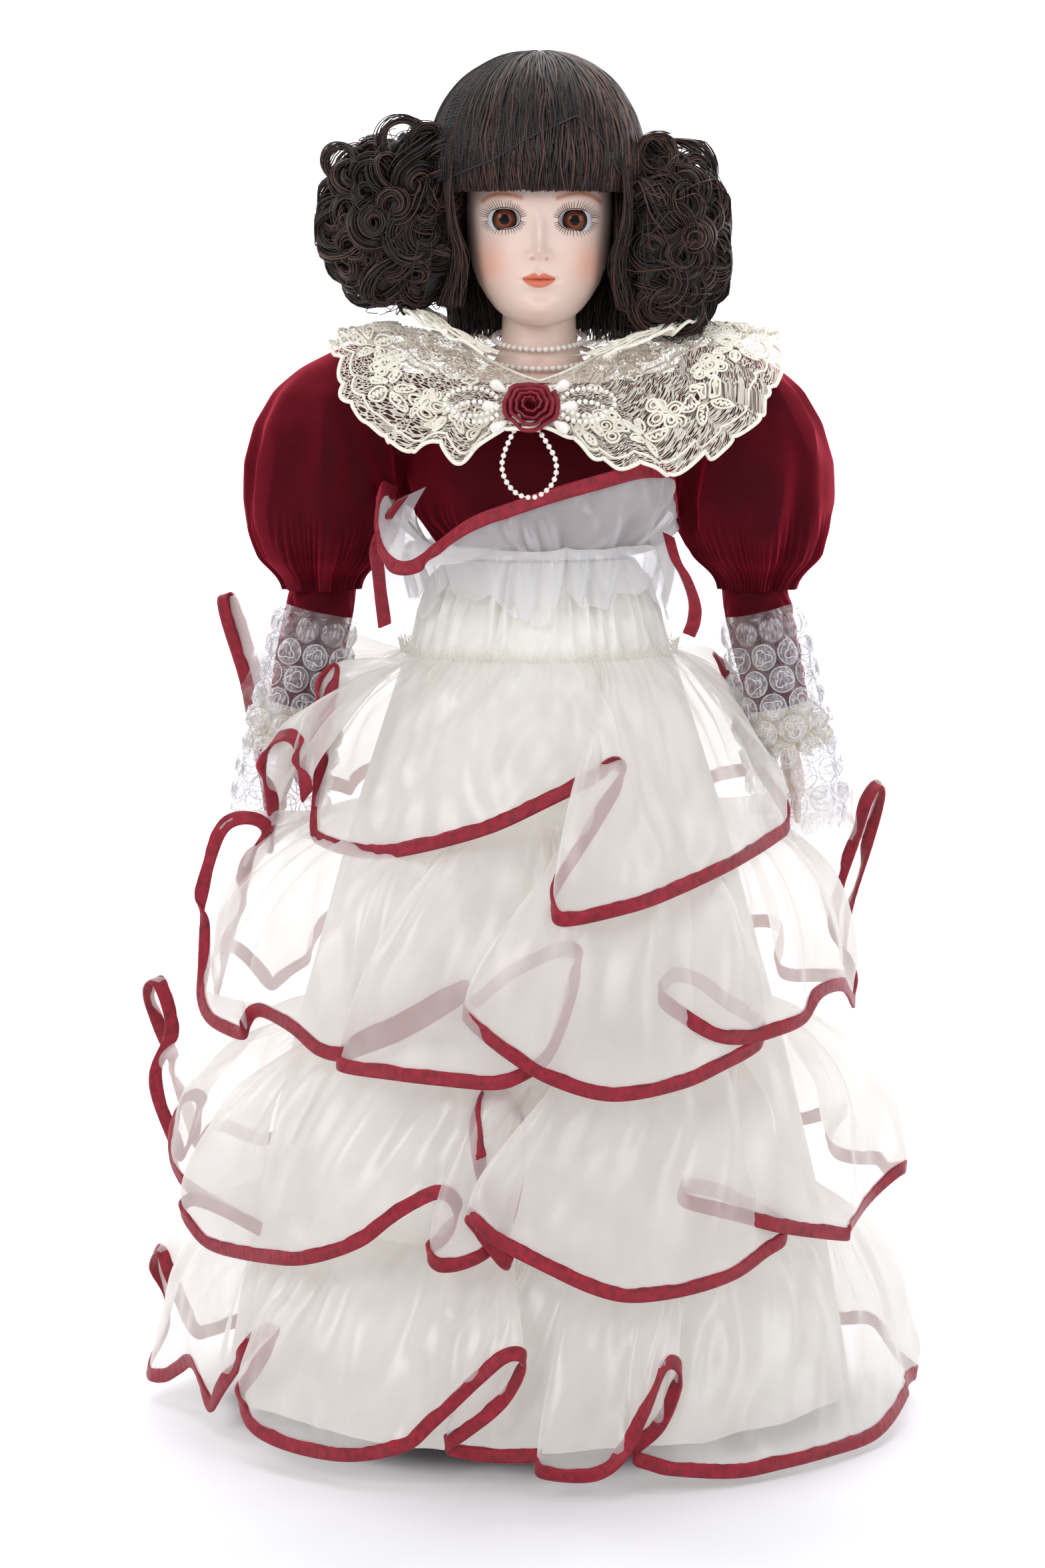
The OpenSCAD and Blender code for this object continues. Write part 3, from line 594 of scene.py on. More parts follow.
def underskirt():
    nu = 620
    nv = 150
    th = np.arange(nu) / nu * 2 * math.pi
    z = np.concatenate([np.linspace(367.4, 322, nv // 2, endpoint=False), np.linspace(322, 9, nv - nv // 2)])
    r = rings(SK_Z, SK, z)
    uu = (th / (2 * math.pi))[:, None] + 0 * z[None]
    zz = z[None] + 0 * th[:, None]
    ph = 1.6 * noise1(uu, 5, 3, 3)
    g = np.sin(2 * math.pi * (34 * uu + ph))
    g = np.sign(g) * np.abs(g) ** 0.8
    g2 = np.sin(2 * math.pi * (71 * uu + 2 * ph + 0.6 * (368 - zz) / 40))
    top = sm(330, 366, zz)
    d = 3.6 * g * (0.16 + 0.84 * top) * (0.75 + 0.35 * noise1(uu, 6, 3, 7)) + 0.9 * g2 * top
    d += 2.6 * np.sin(2 * math.pi * (13 * uu + 0.7 * noise1(uu, 7, 3, 2))) * sm(340, 250, zz) * -1
    d = np.where(zz > 361, d * 0.7, d)
    # pulled in where the top flounce is sewn on
    seam = np.exp(-((zz - 327.5) / 3.2) ** 2)
    d = d * (1 - 0.5 * seam) - 0.4 * seam
    P = np.stack([(r[None, :, 0] + d - 0.4) * np.cos(th)[:, None], (r[None, :, 1] + d - 0.4) * np.sin(th)[:, None], zz], -1)
    uv = np.stack([uu * 620, zz], -1)
    ob = grid("satin_underskirt", P, cu=True, mat=M_SATIN, uv=uv, flip=False)
    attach(ob, "doll"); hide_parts("underskirt")
    # frayed raw edge standing up out of the gathered seam
    n = 1500
    a = rng.random(n) * 2 * math.pi
    rr = rings(SK_Z, SK, 328.0)
    l = rng.uniform(1.5, 6.5, n)
    t = np.linspace(0, 1, 5)
    lean = rng.normal(0, 0.35, n)
    base = np.stack([(rr[0] + 2.2) * np.cos(a), (rr[1] + 2.2) * np.sin(a), 327.5 + 0 * a], 1)
    C = base[:, None] + l[:, None, None] * t[None, :, None] * np.stack([np.cos(a) * 0.25 - np.sin(a) * lean, np.sin(a) * 0.25 + np.cos(a) * lean, 1 + 0 * a], 1)[:, None]
    C += rng.normal(0, 0.12, C.shape)
    fr = tubes("seam_fray", C, 0.09, 3, M_THREAD)
    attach(fr, "doll")
    return ob


M_THREAD = basic("thread_ivory", lin(232, 226, 212), lin(252, 250, 244), 900, 0.7)
under = underskirt()
FL = {k: flounce(k) for k in (1, 2, 3, 4)}


# ---------------------------------------------------------------- bodice and sleeves
def bodice():
    nu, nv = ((360, 80))
    th = np.arange(nu) / nu * 2 * math.pi
    z = np.linspace(367.5, 442, nv)
    zt = [446, 440, 428, 415, 400, 385, 367.5]
    rr = rings(zt, [[42, 25], [47, 29], [55.5, 33.5], [57.2, 38.3], [57.6, 40], [53, 37.5], [37.6, 31.4]], z)
    uu = (th / (2 * math.pi))[:, None] + 0 * z[None]
    zz = z[None] + 0 * th[:, None]
    g = np.sin(2 * math.pi * (46 * uu + 1.2 * noise1(uu, 11, 3, 3)))
    d = 0.9 * g * sm(400, 372, zz) + 1.0 * noise2(uu, (zz - 367) / 80, 12, 18, 9, 2)
    P = np.stack([(rr[None, :, 0] + d - 0.3) * np.cos(th)[:, None], (rr[None, :, 1] + d - 0.3) * np.sin(th)[:, None], zz], -1)
    uv = np.stack([uu * 270, zz], -1)
    ob = grid("velvet_bodice", P, cu=True, mat=M_VELVET, uv=uv)
    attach(ob, "doll"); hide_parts("bodice")
    return ob


def puff(sd, body):
    nm = "left" if sd > 0 else "right"
    nu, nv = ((300, 110))
    th = np.arange(nu) / nu * 2 * math.pi
    zt = [457, 455, 448, 438, 424, 408, 392, 378, 367, 362, 358, 354]
    tb = [[4, 3, 76], [11.75, 11, 74.25], [21.25, 22, 78.75], [27.85, 29.5, 83.2], [32.2, 33.5, 87.2], [34.3, 35.5, 89.6], [34, 36, 90.5],
          [31.5, 33.5, 91.5], [26.5, 28, 92.5], [20.5, 21.5, 93], [17.2, 17.6, 92.8], [16.2, 16.6, 92.6]]
    v = np.linspace(0, 1, nv)
    z = 457 - 103 * (v ** 1.08)
    rr = rings(zt, tb, z)
    # smooth the table's corners
    for _ in range(6):
        rr[1:-1] = 0.5 * rr[1:-1] + 0.25 * (rr[:-2] + rr[2:])
    uu = (th / (2 * math.pi))[:, None] + 0 * z[None]
    zz = z[None] + 0 * th[:, None]
    vv = (457 - zz) / 103
    seed = 20 if sd > 0 else 30
    g = np.sin(2 * math.pi * (27 * uu + 0.8 * noise1(uu, seed, 3, 2)))
    g = 1 - 2 * np.abs(g) ** 0.7
    soft = np.sin(2 * math.pi * (7 * uu + 0.6 * noise1(uu, seed + 1, 3, 1) + 0.45 * vv))
    d = 1.5 * g * sm(392, 364, zz) * (1 - 0.45 * sm(362, 356, zz)) + 2.0 * soft * sm(450, 425, zz) * (0.5 + 0.5 * sm(425, 380, zz))
    d += 1.5 * noise2(uu, vv, seed + 2, 16, 6, 2.2) * sm(452, 436, zz)
    # folds that run from the armhole down and out
    inner = np.exp(-((np.mod(uu - 0.5 + 0.5, 1) - 0.5) / 0.16) ** 2)
    fold = np.sin(2 * math.pi * (15 * uu + 2.6 * vv))
    d += 2.1 * fold * inner * sm(452, 430, zz) * sm(360, 385, zz)
    d = np.minimum(d, 1.2)
    P = np.stack([sd * (rr[None, :, 2] + (rr[None, :, 0] + d) * np.cos(th)[:, None]), (rr[None, :, 1] + d) * np.sin(th)[:, None], zz + 0 * d], -1)
    uv = np.stack([uu * 200, 1.2 * zz], -1)
    F = grid_faces(nu, nv, True, False)
    if sd > 0:
        F = F[:, ::-1]
    V = P.reshape(-1, 3)
    c = V[F].mean(1)
    F = F[~((np.abs(c[:, 0]) < 66) & (np.hypot(c[:, 1] / 1.12, c[:, 2] - 428) < 15.5))]
    ob = mesh_obj(f"velvet_puff_{nm}", V, F, M_VELVET, uv=uv.reshape(-1, 2))
    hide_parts(f"sleeve_puff_{nm}")
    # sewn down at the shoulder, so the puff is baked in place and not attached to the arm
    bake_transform(ob)
    # the short gathered neck that joins the puff to the bodice
    nu2, nv2 = 160, 26
    th = np.arange(nu2) / nu2 * 2 * math.pi
    x = np.linspace(40, 66, nv2)
    uu = (th / (2 * math.pi))[:, None] + 0 * x[None]
    xx = x[None] + 0 * th[:, None]
    g = np.sin(2 * math.pi * (22 * uu + 0.7 * noise1(uu, seed + 5, 3, 2)))
    r = 17.8 + 3.2 * sm(52, 66, xx) + 0.45 * g
    Q = np.stack([sd * xx, r * 1.12 * np.cos(th)[:, None], 427 + r * np.sin(th)[:, None] * 1.0], -1)
    nk = grid(f"velvet_armhole_{nm}", Q, cu=True, mat=M_VELVET, uv=np.stack([uu * 120, xx], -1), flip=sd < 0)
    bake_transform(nk)
    return ob


ELB = np.array([92.0, 0, 352.0])
LEAN = math.radians(12.5)


def along(sd, L):
    """local forearm coordinates (x outward, y, z up the arm) to the frame"""
    L = np.asarray(L, float)
    c, s = math.cos(-LEAN), math.sin(-LEAN)
    x = L[..., 0] * c + L[..., 2] * s
    z = -L[..., 0] * s + L[..., 2] * c
    return np.stack([sd * (ELB[0] + x), ELB[1] + L[..., 1], ELB[2] + z], -1)


def lace_mat(name, lo, hi, cell=1.5, thread=0.16, open_=0.0, motif=None, bump=True):
    """net with a real mesh: threads follow the edges of small cells, the holes let light through.
    motif is (size mm, cover) for denser embroidered leaves worked on the net."""
    k = NT(name)
    tc = k.n("TexCoord")
    vo = k.n("TexVoronoi", feature="DISTANCE_TO_EDGE", Scale=1.0 / cell)
    vo.inputs["Randomness"].default_value = 0.8
    k.link(tc.outputs["UV"], vo.inputs["Vector"])
    net = k.n("MapRange")
    k.link(vo.outputs["Distance"], net.inputs["Value"])
    net.inputs["From Min"].default_value = thread
    net.inputs["From Max"].default_value = thread + 0.05
    net.inputs["To Min"].default_value = 1
    net.inputs["To Max"].default_value = open_
    alpha = net.outputs["Result"]
    nz = k.n("TexNoise", Scale=0.35, Detail=4)
    k.link(tc.outputs["UV"], nz.inputs["Vector"])
    col = k.ramp(nz.outputs["Fac"], [(0.3, lo), (0.7, hi)])
    h = alpha
    if motif:
        size, cover = motif
        v2 = k.n("TexVoronoi", feature="F1", Scale=1.0 / size)
        v2.inputs["Randomness"].default_value = 0.85
        k.link(tc.outputs["UV"], v2.inputs["Vector"])
        wv = k.n("TexNoise", Scale=0.55, Detail=3)
        k.link(tc.outputs["UV"], wv.inputs["Vector"])
        s = k.math("ADD", v2.outputs["Distance"], k.math("MULTIPLY", wv.outputs["Fac"], 0.55))
        mm = k.n("MapRange")
        k.link(s, mm.inputs["Value"])
        mm.inputs["From Min"].default_value = cover
        mm.inputs["From Max"].default_value = cover + 0.05
        mm.inputs["To Min"].default_value = 1
        mm.inputs["To Max"].default_value = 0
        st = k.n("TexNoise", Scale=1.6, Detail=4, Roughness=0.7)
        k.link(tc.outputs["UV"], st.inputs["Vector"])
        body = k.math("MULTIPLY", mm.outputs["Result"], k.math("ADD", k.math("MULTIPLY", st.outputs["Fac"], 1.5), -0.05))
        alpha = k.math("MAXIMUM", alpha, body)
        h = k.math("ADD", k.math("MULTIPLY", alpha, 0.5), body)
    p = k.n("BsdfPrincipled", Roughness=0.75)
    k.link(col, p.inputs["Base Color"])
    p.inputs["Sheen Weight"].default_value = 0.08
    p.inputs["Specular IOR Level"].default_value = 0.12
    if bump:
        bp = k.n("Bump", Strength=0.6, Distance=0.0005)
        k.link(h, bp.inputs["Height"])
        k.link(bp.outputs[0], p.inputs["Normal"])
    tl = k.n("BsdfTranslucent")
    k.link(col, tl.inputs["Color"])
    m1 = k.n("MixShader", Fac=0.3)
    k.link(p.outputs[0], m1.inputs[1])
    k.link(tl.outputs[0], m1.inputs[2])
    tp = k.n("BsdfTransparent")
    m2 = k.n("MixShader")
    cl = k.n("Clamp")
    k.link(alpha, cl.inputs["Value"])
    k.link(cl.outputs[0], m2.inputs["Fac"])
    k.link(tp.outputs[0], m2.inputs[1])
    k.link(m1.outputs[0], m2.inputs[2])
    k.link(m2.outputs[0], k.out.inputs["Surface"])
    return k.m


M_NET = lace_mat("net_cream", lin(236, 230, 214), lin(249, 246, 235), 1.7, 0.085, 0.04, motif=(15, 0.44))
M_CUFF = lace_mat("lace_fuzzy", lin(238, 226, 206), lin(252, 246, 234), 1.3, 0.2, 0.25, motif=(5, 0.75))
M_CORD = basic("lace_cord", lin(240, 233, 214), lin(253, 250, 240), 500, 0.7, bump=0.4, bump_scale=2500)
M_BISQUE_HAND = basic("bisque_pale", lin(232, 208, 196), lin(242, 222, 211), 40, 0.45, sss=0.12, bump=0.05, bump_scale=3000)


def film_mat():
    """clear plastic film: nearly invisible face on, bright along bends, and each bubble whitened by a painted highlight
    """
    k = NT("bubble_film")
    tc = k.n("TexCoord")
    lw = k.n("LayerWeight", Blend=0.22)
    nz = k.n("TexNoise", Scale=0.22, Detail=5, Roughness=0.6)
    k.link(tc.outputs["UV"], nz.inputs["Vector"])
    bp = k.n("Bump", Strength=0.55, Distance=0.0016)
    k.link(nz.outputs["Fac"], bp.inputs["Height"])
    k.link(bp.outputs[0], lw.inputs["Normal"])
    gl = k.n("BsdfGlossy", Roughness=0.12)
    gl.inputs["Color"].default_value = (0.98, 0.98, 1.0, 1)
    k.link(bp.outputs[0], gl.inputs["Normal"])
    df = k.n("BsdfDiffuse")
    col = k.ramp(nz.outputs["Fac"], [(0.3, (0.80, 0.80, 0.83)), (0.7, (0.92, 0.92, 0.94))])
    k.link(col, df.inputs["Color"])
    tp = k.n("BsdfTransparent")
    tp.inputs["Color"].default_value = (0.97, 0.97, 0.975, 1)
    m0 = k.n("MixShader")
    at = k.n("Attribute", attribute_name="Col")
    # painted highlight: the bubble mask in the colour attribute Col turns each bubble partly white; the cubed noise is
    # the film's milky haze
    haze_and_painted_highlight = k.math("ADD", k.math("MULTIPLY", k.math("POWER", nz.outputs["Fac"], 3.0), 0.36), k.math("MULTIPLY", at.outputs["Fac"], 0.34))
    k.link(haze_and_painted_highlight, m0.inputs["Fac"])
    k.link(tp.outputs[0], m0.inputs[1])
    k.link(df.outputs[0], m0.inputs[2])
    m1 = k.n("MixShader")
    f = k.math("ADD", k.math("MULTIPLY", lw.outputs["Facing"], 0.85), 0.05)
    k.link(f, m1.inputs["Fac"])
    k.link(m0.outputs[0], m1.inputs[1])
    k.link(gl.outputs[0], m1.inputs[2])
    k.link(m1.outputs[0], k.out.inputs["Surface"])
    return k.m


M_FILM = film_mat()


def film_rim_mat():
    k = NT("bubble_film_rim")
    tc = k.n("TexCoord")
    nz = k.n("TexNoise", Scale=900, Detail=3)
    k.link(tc.outputs["Object"], nz.inputs["Vector"])
    p = k.n("BsdfPrincipled", Roughness=0.16)
    k.link(k.ramp(nz.outputs["Fac"], [(0.3, (0.72, 0.72, 0.76)), (0.7, (0.95, 0.95, 0.97))]), p.inputs["Base Color"])
    tp = k.n("BsdfTransparent")
    mx = k.n("MixShader")
    k.link(k.math("ADD", k.math("MULTIPLY", nz.outputs["Fac"], 0.7), 0.12), mx.inputs["Fac"])
    k.link(tp.outputs[0], mx.inputs[1])
    k.link(p.outputs[0], mx.inputs[2])
    k.link(mx.outputs[0], k.out.inputs["Surface"])
    return k.m


M_FILM_RIM = film_rim_mat()


def remeshed(name, ob, voxel, smooth_it=6, mat=None):
    """one skin over overlapping solids"""
    bpy.context.view_layer.update()
    m = ob.modifiers.new("r", "REMESH")
    m.mode = "VOXEL"
    m.voxel_size = voxel * MM
    s = ob.modifiers.new("s", "SMOOTH")
    s.factor = 0.5
    s.iterations = smooth_it
    dg = bpy.context.evaluated_depsgraph_get()
    me = bpy.data.meshes.new_from_object(ob.evaluated_get(dg))
    me.name = name
    out = bpy.data.objects.new(name, me)
    bpy.context.scene.collection.objects.link(out)
    me.materials.clear()
    if mat:
        me.materials.append(mat)
    me.polygons.foreach_set("use_smooth", np.ones(len(me.polygons), bool))
    bpy.data.objects.remove(ob)
    return out


def solid_tube(C, R, sides=16):
    """closed tube with round ends as verts and faces, C (n,3), R (n,)"""
    C = np.asarray(C, float); R = np.asarray(R, float)
    T, N, Bn = frames(C)
    cs, rs, ts = [C[0] - T[0] * R[0] * 0.85], [R[0] * 0.45], [0]
    pts = [(C[0] - T[0] * R[0] * 0.8, R[0] * 0.5, 0)] + [(C[i], R[i], i) for i in range(len(C))] + [(C[-1] + T[-1] * R[-1] * 0.55, R[-1] * 0.8, len(C) - 1), (C[-1] + T[-1] * R[-1] * 0.92, R[-1] * 0.35, len(C) - 1)]
    a = np.arange(sides) / sides * 2 * math.pi
    V = []
    for c, r, i in pts:
        V.append(c + r * (np.outer(np.cos(a), N[i]) + np.outer(np.sin(a), Bn[i])))
    V = np.concatenate(V)
    n = len(pts)
    F = [tuple(f) for f in grid_faces(n, sides, False, True)]
    F.append(tuple(range(sides))[::-1])
    F.append(tuple((n - 1) * sides + j for j in range(sides)))
    return V, F


def join_solids(name, parts):
    V, F, o = [], [], 0
    for v, f in parts:
        V.append(v)
        F += [tuple(i + o for i in q) for q in f]
        o += len(v)
    return mesh_obj(name, np.concatenate(V), F)


def elbow(ob):
    """cloth or film that starts on the upper arm and runs over the elbow; its transform is only baked into the mesh,
    and it is not attached to either arm
    """
    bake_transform(ob)


def lower_arm(sd, body):
    nm = "left" if sd > 0 else "right"
    nu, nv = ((200, 70))
    th = np.arange(nu) / nu * 2 * math.pi
    uu = (th / (2 * math.pi))[:, None]
    seed = 200 if sd > 0 else 230
    # fitted velvet sleeve
    z = np.linspace(6, -51, nv)
    zz = z[None] + 0 * uu
    r = np.interp(zz, [-51, -30, -4, 6], [12.9, 13.9, 14.4, 13.6])
    r = r + 0.55 * np.sin(2 * math.pi * (zz / 9.5 + 1.3 * np.sin(2 * math.pi * uu) + noise1(uu, seed, 2, 2))) * np.sin(math.pi * np.clip((6 - zz) / 57, 0, 1)) - 0.2
    P = along(sd, np.stack([r * np.cos(th)[:, None], r * np.sin(th)[:, None], zz], -1))
    sl = grid(f"velvet_lower_{nm}", P, cu=True, mat=M_VELVET, uv=np.stack([uu * 85 + 0 * zz, zz], -1), flip=sd > 0)
    elbow(sl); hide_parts(f"lower_sleeve_{nm}")
    # lace cuff, three ruffled layers
    z = np.linspace(0, 1, 26)
    layers = []
    for L_, (z0, z1, r0, r1, amp) in enumerate([(-49, -60, 13.4, 19, 1.6), (-52, -66, 13.2, 18.6, 1.8), (-55, -70, 12.6, 17.5, 1.6)]):
        nuc = 260
        tc_ = np.arange(nuc) / nuc * 2 * math.pi
        u2 = (tc_ / (2 * math.pi))[:, None]
        vv = z[None] + 0 * u2
        w = np.sin(2 * math.pi * ((14 + L_) * u2 + 0.5 * noise1(u2, seed + 7 + L_, 2, 2)))
        rr_ = r0 + (r1 - r0) * vv ** 0.8 + amp * w * vv + 0.8 * noise2(u2, vv, seed + 9 + L_, 14, 24, 4) * vv
        zl = z0 + (z1 - z0) * vv + 1.4 * np.cos(2 * math.pi * 14 * u2) * vv ** 2
        Q = along(sd, np.stack([rr_ * np.cos(tc_)[:, None], rr_ * np.sin(tc_)[:, None], zl], -1))
        layers.append((Q, np.stack([u2 * 150 + 0 * vv, vv * 16], -1)))
    V = np.concatenate([q.reshape(-1, 3) for q, _ in layers]); UV = np.concatenate([q.reshape(-1, 2) for _, q in layers])
    nuc = layers[0][0].shape[0]
    F0 = grid_faces(nuc, 26, True, False)
    F = np.concatenate([F0 + i * nuc * 26 for i in range(3)])
    cf = mesh_obj(f"lace_cuff_ruffles_{nm}", V, F, M_CUFF, uv=UV)
    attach(cf, body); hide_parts(f"lace_cuff_{nm}")
    # fuzz of loose threads on the cuff
    nf = 500
    Q = layers[0][0].reshape(-1, 3)[rng.integers(0, layers[0][0].shape[0] * 26, nf)]
    Q2 = layers[1][0].reshape(-1, 3)[rng.integers(0, layers[0][0].shape[0] * 26, nf)]
    Q = np.concatenate([Q, Q2])
    t = np.linspace(0, 1, 4)
    D = unit(rng.normal(0, 1, (len(Q), 3)))
    C = Q[:, None] + D[:, None] * (t[None, :, None] * rng.uniform(1.0, 2.6, len(Q))[:, None, None]) + rng.normal(0, 0.12, (len(Q), 4, 3))
    fz = tubes(f"cuff_fuzz_{nm}", C, 0.07, 3, M_THREAD)
    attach(fz, body)
    # hand
    parts = []
    pz = np.linspace(6, -62, 16)
    pr = np.interp(pz, [-62, -50, -36, -22, -11, 6], [5.2, 6.4, 9, 10.4, 9.4, 9.2])
    parts.append(solid_tube(np.stack([0 * pz, 0 * pz, pz], 1), pr, 24))
    # palm: thin in x, wide in y
    z = np.linspace(-58, -84, 10)
    v, f = solid_tube(np.stack([0 * z, 0 * z, z], 1), np.interp(z, [-84, -76, -66, -58], [7.4, 8.2, 7.0, 5.2]), 24)
    v = v.copy(); v[:, 0] *= 0.56
    parts.append((v, f))
    for j, (y0, l, sp) in enumerate([(-6.0, 15, -0.14), (-2.1, 17.5, -0.04), (1.9, 16.5, 0.05), (5.6, 13, 0.15)]):
        t = np.linspace(0, 1, 7)
        C = np.stack([-2.2 * t ** 2 - 0.4, y0 + sp * l * t, -82 - l * t], 1)
        parts.append(solid_tube(C, np.interp(t, [0, 1], [2.15, 1.55]), 12))
    t = np.linspace(0, 1, 7)
    C = np.stack([-1.6 * t, -5.5 - 5.0 * t + 1.4 * t ** 2, -66 - 15 * t], 1)
    parts.append(solid_tube(C, np.interp(t, [0, 1], [2.6, 1.7]), 12))
    parts = [(along(sd, v), f if sd > 0 else [q[::-1] for q in f]) for v, f in parts]
    raw = join_solids("raw", parts)
    hd = remeshed(f"hand_{nm}", raw, 0.8, 4, M_BISQUE_HAND)
    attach(hd, body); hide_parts(f"forearm_{nm}")
    # bubble wrap
    nu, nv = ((340, 260))
    th = np.arange(nu) / nu * 2 * math.pi
    uu = (th / (2 * math.pi))[:, None]
    z = np.linspace(-7, -106, nv)
    zz = z[None] + 0 * uu
    r = np.interp(zz, [-106, -95, -60, -30, -7], [14.5, 18.5, 18.8, 16.6, 15.8])
    nzv = noise2(uu, (zz + 106) / 100, seed + 20, 22, 7, 3.0)
    r = r + 0.75 * nzv
    circ = 2 * math.pi * 17.6
    pitch = circ / 9
    row = pitch * 0.87
    best = np.full(uu.shape[:1] + zz.shape[1:], 99.0)
    rowi = np.floor((zz + 106) / row)
    for dr in (-1, 0, 1):
        ri = rowi + dr
        zc = ri * row - 106 + row / 2
        off = np.where(np.mod(ri, 2) == 0, 0.0, 0.5)
        t = uu * 9 - off
        du = (t - np.round(t)) * pitch
        best = np.minimum(best, np.hypot(du, zz - zc))
    bub = np.sqrt(np.clip(1 - (best / (pitch * 0.44)) ** 2, 0, 1))
    dent = 1 - 0.35 * np.clip(noise2(uu, (zz + 106) / 100, seed + 21, 30, 34, 16), -1, 1) ** 2
    on = (zz < -9) & (zz > -104)
    r0 = r.copy()
    r = r + 2.9 * bub * dent * on
    r = np.minimum(r, 22.5)
    # painted highlight on each bubble, patchy with noise, passed to the film material through the colour attribute
    painted_bubble_highlight = (0.25 + 0.75 * noise2(uu, (zz + 106) / 100, seed + 23, 34, 40, 18) ** 2) * (bub > 0) * on
    P = along(sd, np.stack([r * np.cos(th)[:, None], r * np.sin(th)[:, None] * 1.02, zz], -1))
    wr = grid(f"bubble_wrap_film_{nm}", P, cu=True, mat=M_FILM, uv=np.stack([uu * 110 + 0 * zz, zz], -1), flip=sd > 0, col=np.clip(painted_bubble_highlight, 0, 1)[..., None] * np.ones(3))
    elbow(wr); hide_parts(f"bubble_wrap_{nm}")
    # welded rim round each bubble, with the crease pressed into its top
    rim = []
    for ri in range(0, int(95 / row)):
        zc = ri * row - 106 + row / 2
        if zc + 106 < pitch * 0.5 or zc > -9 - pitch * 0.45:
            continue
        for ci in range(9):
            uc = (ci + (0.0 if ri % 2 == 0 else 0.5)) / 9
            for rho, lift, ph in ((pitch * 0.44, 0.3, 0), (pitch * 0.24, 2.5, 1.3 * ci + ri)):
                a = np.linspace(0, 2 * math.pi, 25)
                rho_a = rho * (1 + (0 if ph == 0 else 0.28) * np.sin(3 * a + ph))
                ut = uc + rho_a * np.cos(a) / circ
                zt = zc + rho_a * np.sin(a)
                ii = np.floor(np.mod(ut, 1) * nu).astype(int) % nu
                jj = np.clip(np.round((-7 - zt) / 99 * (nv - 1)).astype(int), 0, nv - 1)
                rt = np.minimum(r0[ii, jj] + lift, 22.6)
                rim.append(np.stack([rt * np.cos(2 * math.pi * ut), rt * np.sin(2 * math.pi * ut) * 1.02, zt], -1))
    rim = along(sd, np.array(rim))
    rm = tubes(f"bubble_wrap_rims_{nm}", rim, 0.28, 5, M_FILM_RIM)
    elbow(rm)
    # loose outer edge of the wrap, crinkled
    na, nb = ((120, 26))
    z = np.linspace(-4, -108, na)[:, None]
    t = np.linspace(0, 1, nb)[None]
    wv = noise2((z + 110) / 110, t, seed + 22, 20, 7, 1.2)
    wid = 9 + 2.5 * np.sin(z / 13.0) + 1.5 * np.sin(z / 5.1)
    X = 16.5 + t * wid
    Y = 3 + 4.0 * t * np.sin(z / 17.0 + 1) + 1.6 * wv
    Q = along(sd, np.stack([X + 0 * z, Y, z + 0 * t], -1))
    fl = grid(f"bubble_wrap_edge_{nm}", Q, mat=M_FILM, uv=np.stack([z + 0 * t, t * 13 + 0 * z], -1))
    elbow(fl)


# ---------------------------------------------------------------- bust flounce
def ribbon_along(name, H, acr, w, seed, closed=False, body="doll"):
    n = len(H)
    tang = unit(np.gradient(H, axis=0))
    nor = unit(np.cross(tang, acr))
    s = np.concatenate([[0], np.cumsum(np.linalg.norm(np.diff(H, axis=0), axis=1))])
    q = s / s[-1]
    crimp = 0.10 * np.sin(2 * math.pi * s / 5.3 + 2.5 * noise1(q, seed, 3, 9)) + 0.08 * noise1(q, seed + 1, 3, 20)
    prof = [(0.0, 0.0), (0.03, 0.55), (0.2, 0.78), (0.5, 0.66), (0.8, 0.78), (1.0, 0.7), (1.0, -0.7), (0.8, -0.78), (0.5, -0.66), (0.2, -0.78), (0.03, -0.55)]
    Q = np.stack([H - acr * 0.5 + acr * (a_ * w) + nor * (b_ + crimp * math.sin(math.pi * min(1, a_ + 0.1)))[:, None] for a_, b_ in prof], 1)
    uvr = np.stack([s[:, None] + np.zeros((n, len(prof))), np.array([p[0] for p in prof])[None] * w + np.zeros((n, 1))], -1)
    rb = grid(name, Q, cu=closed, cv=True, mat=M_RIB, uv=uvr)
    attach(rb, body)
    return rb


BUST_TOP = [(-50,14,392),(-57,-2,396),(-62,-20,399),(-65,-36,401),(-67,-42,394),(-67,-47,384),(-64,-51,375),(-58,-55,370),(-51,-57,371),(-42,-58,378),(-28,-59,388),(-12,-58,394),(6,-57,400),(24,-55,405),(40,-49,409),(50,-40,409),(55,-32,408),(56,-26,402),(57,-20,393),(57,-8,390),(55,6,392),(50,22,398),(36,37,403),(18,44,405),(0,46,406),(-20,44,405),(-38,36,402),(-47,26,396)]


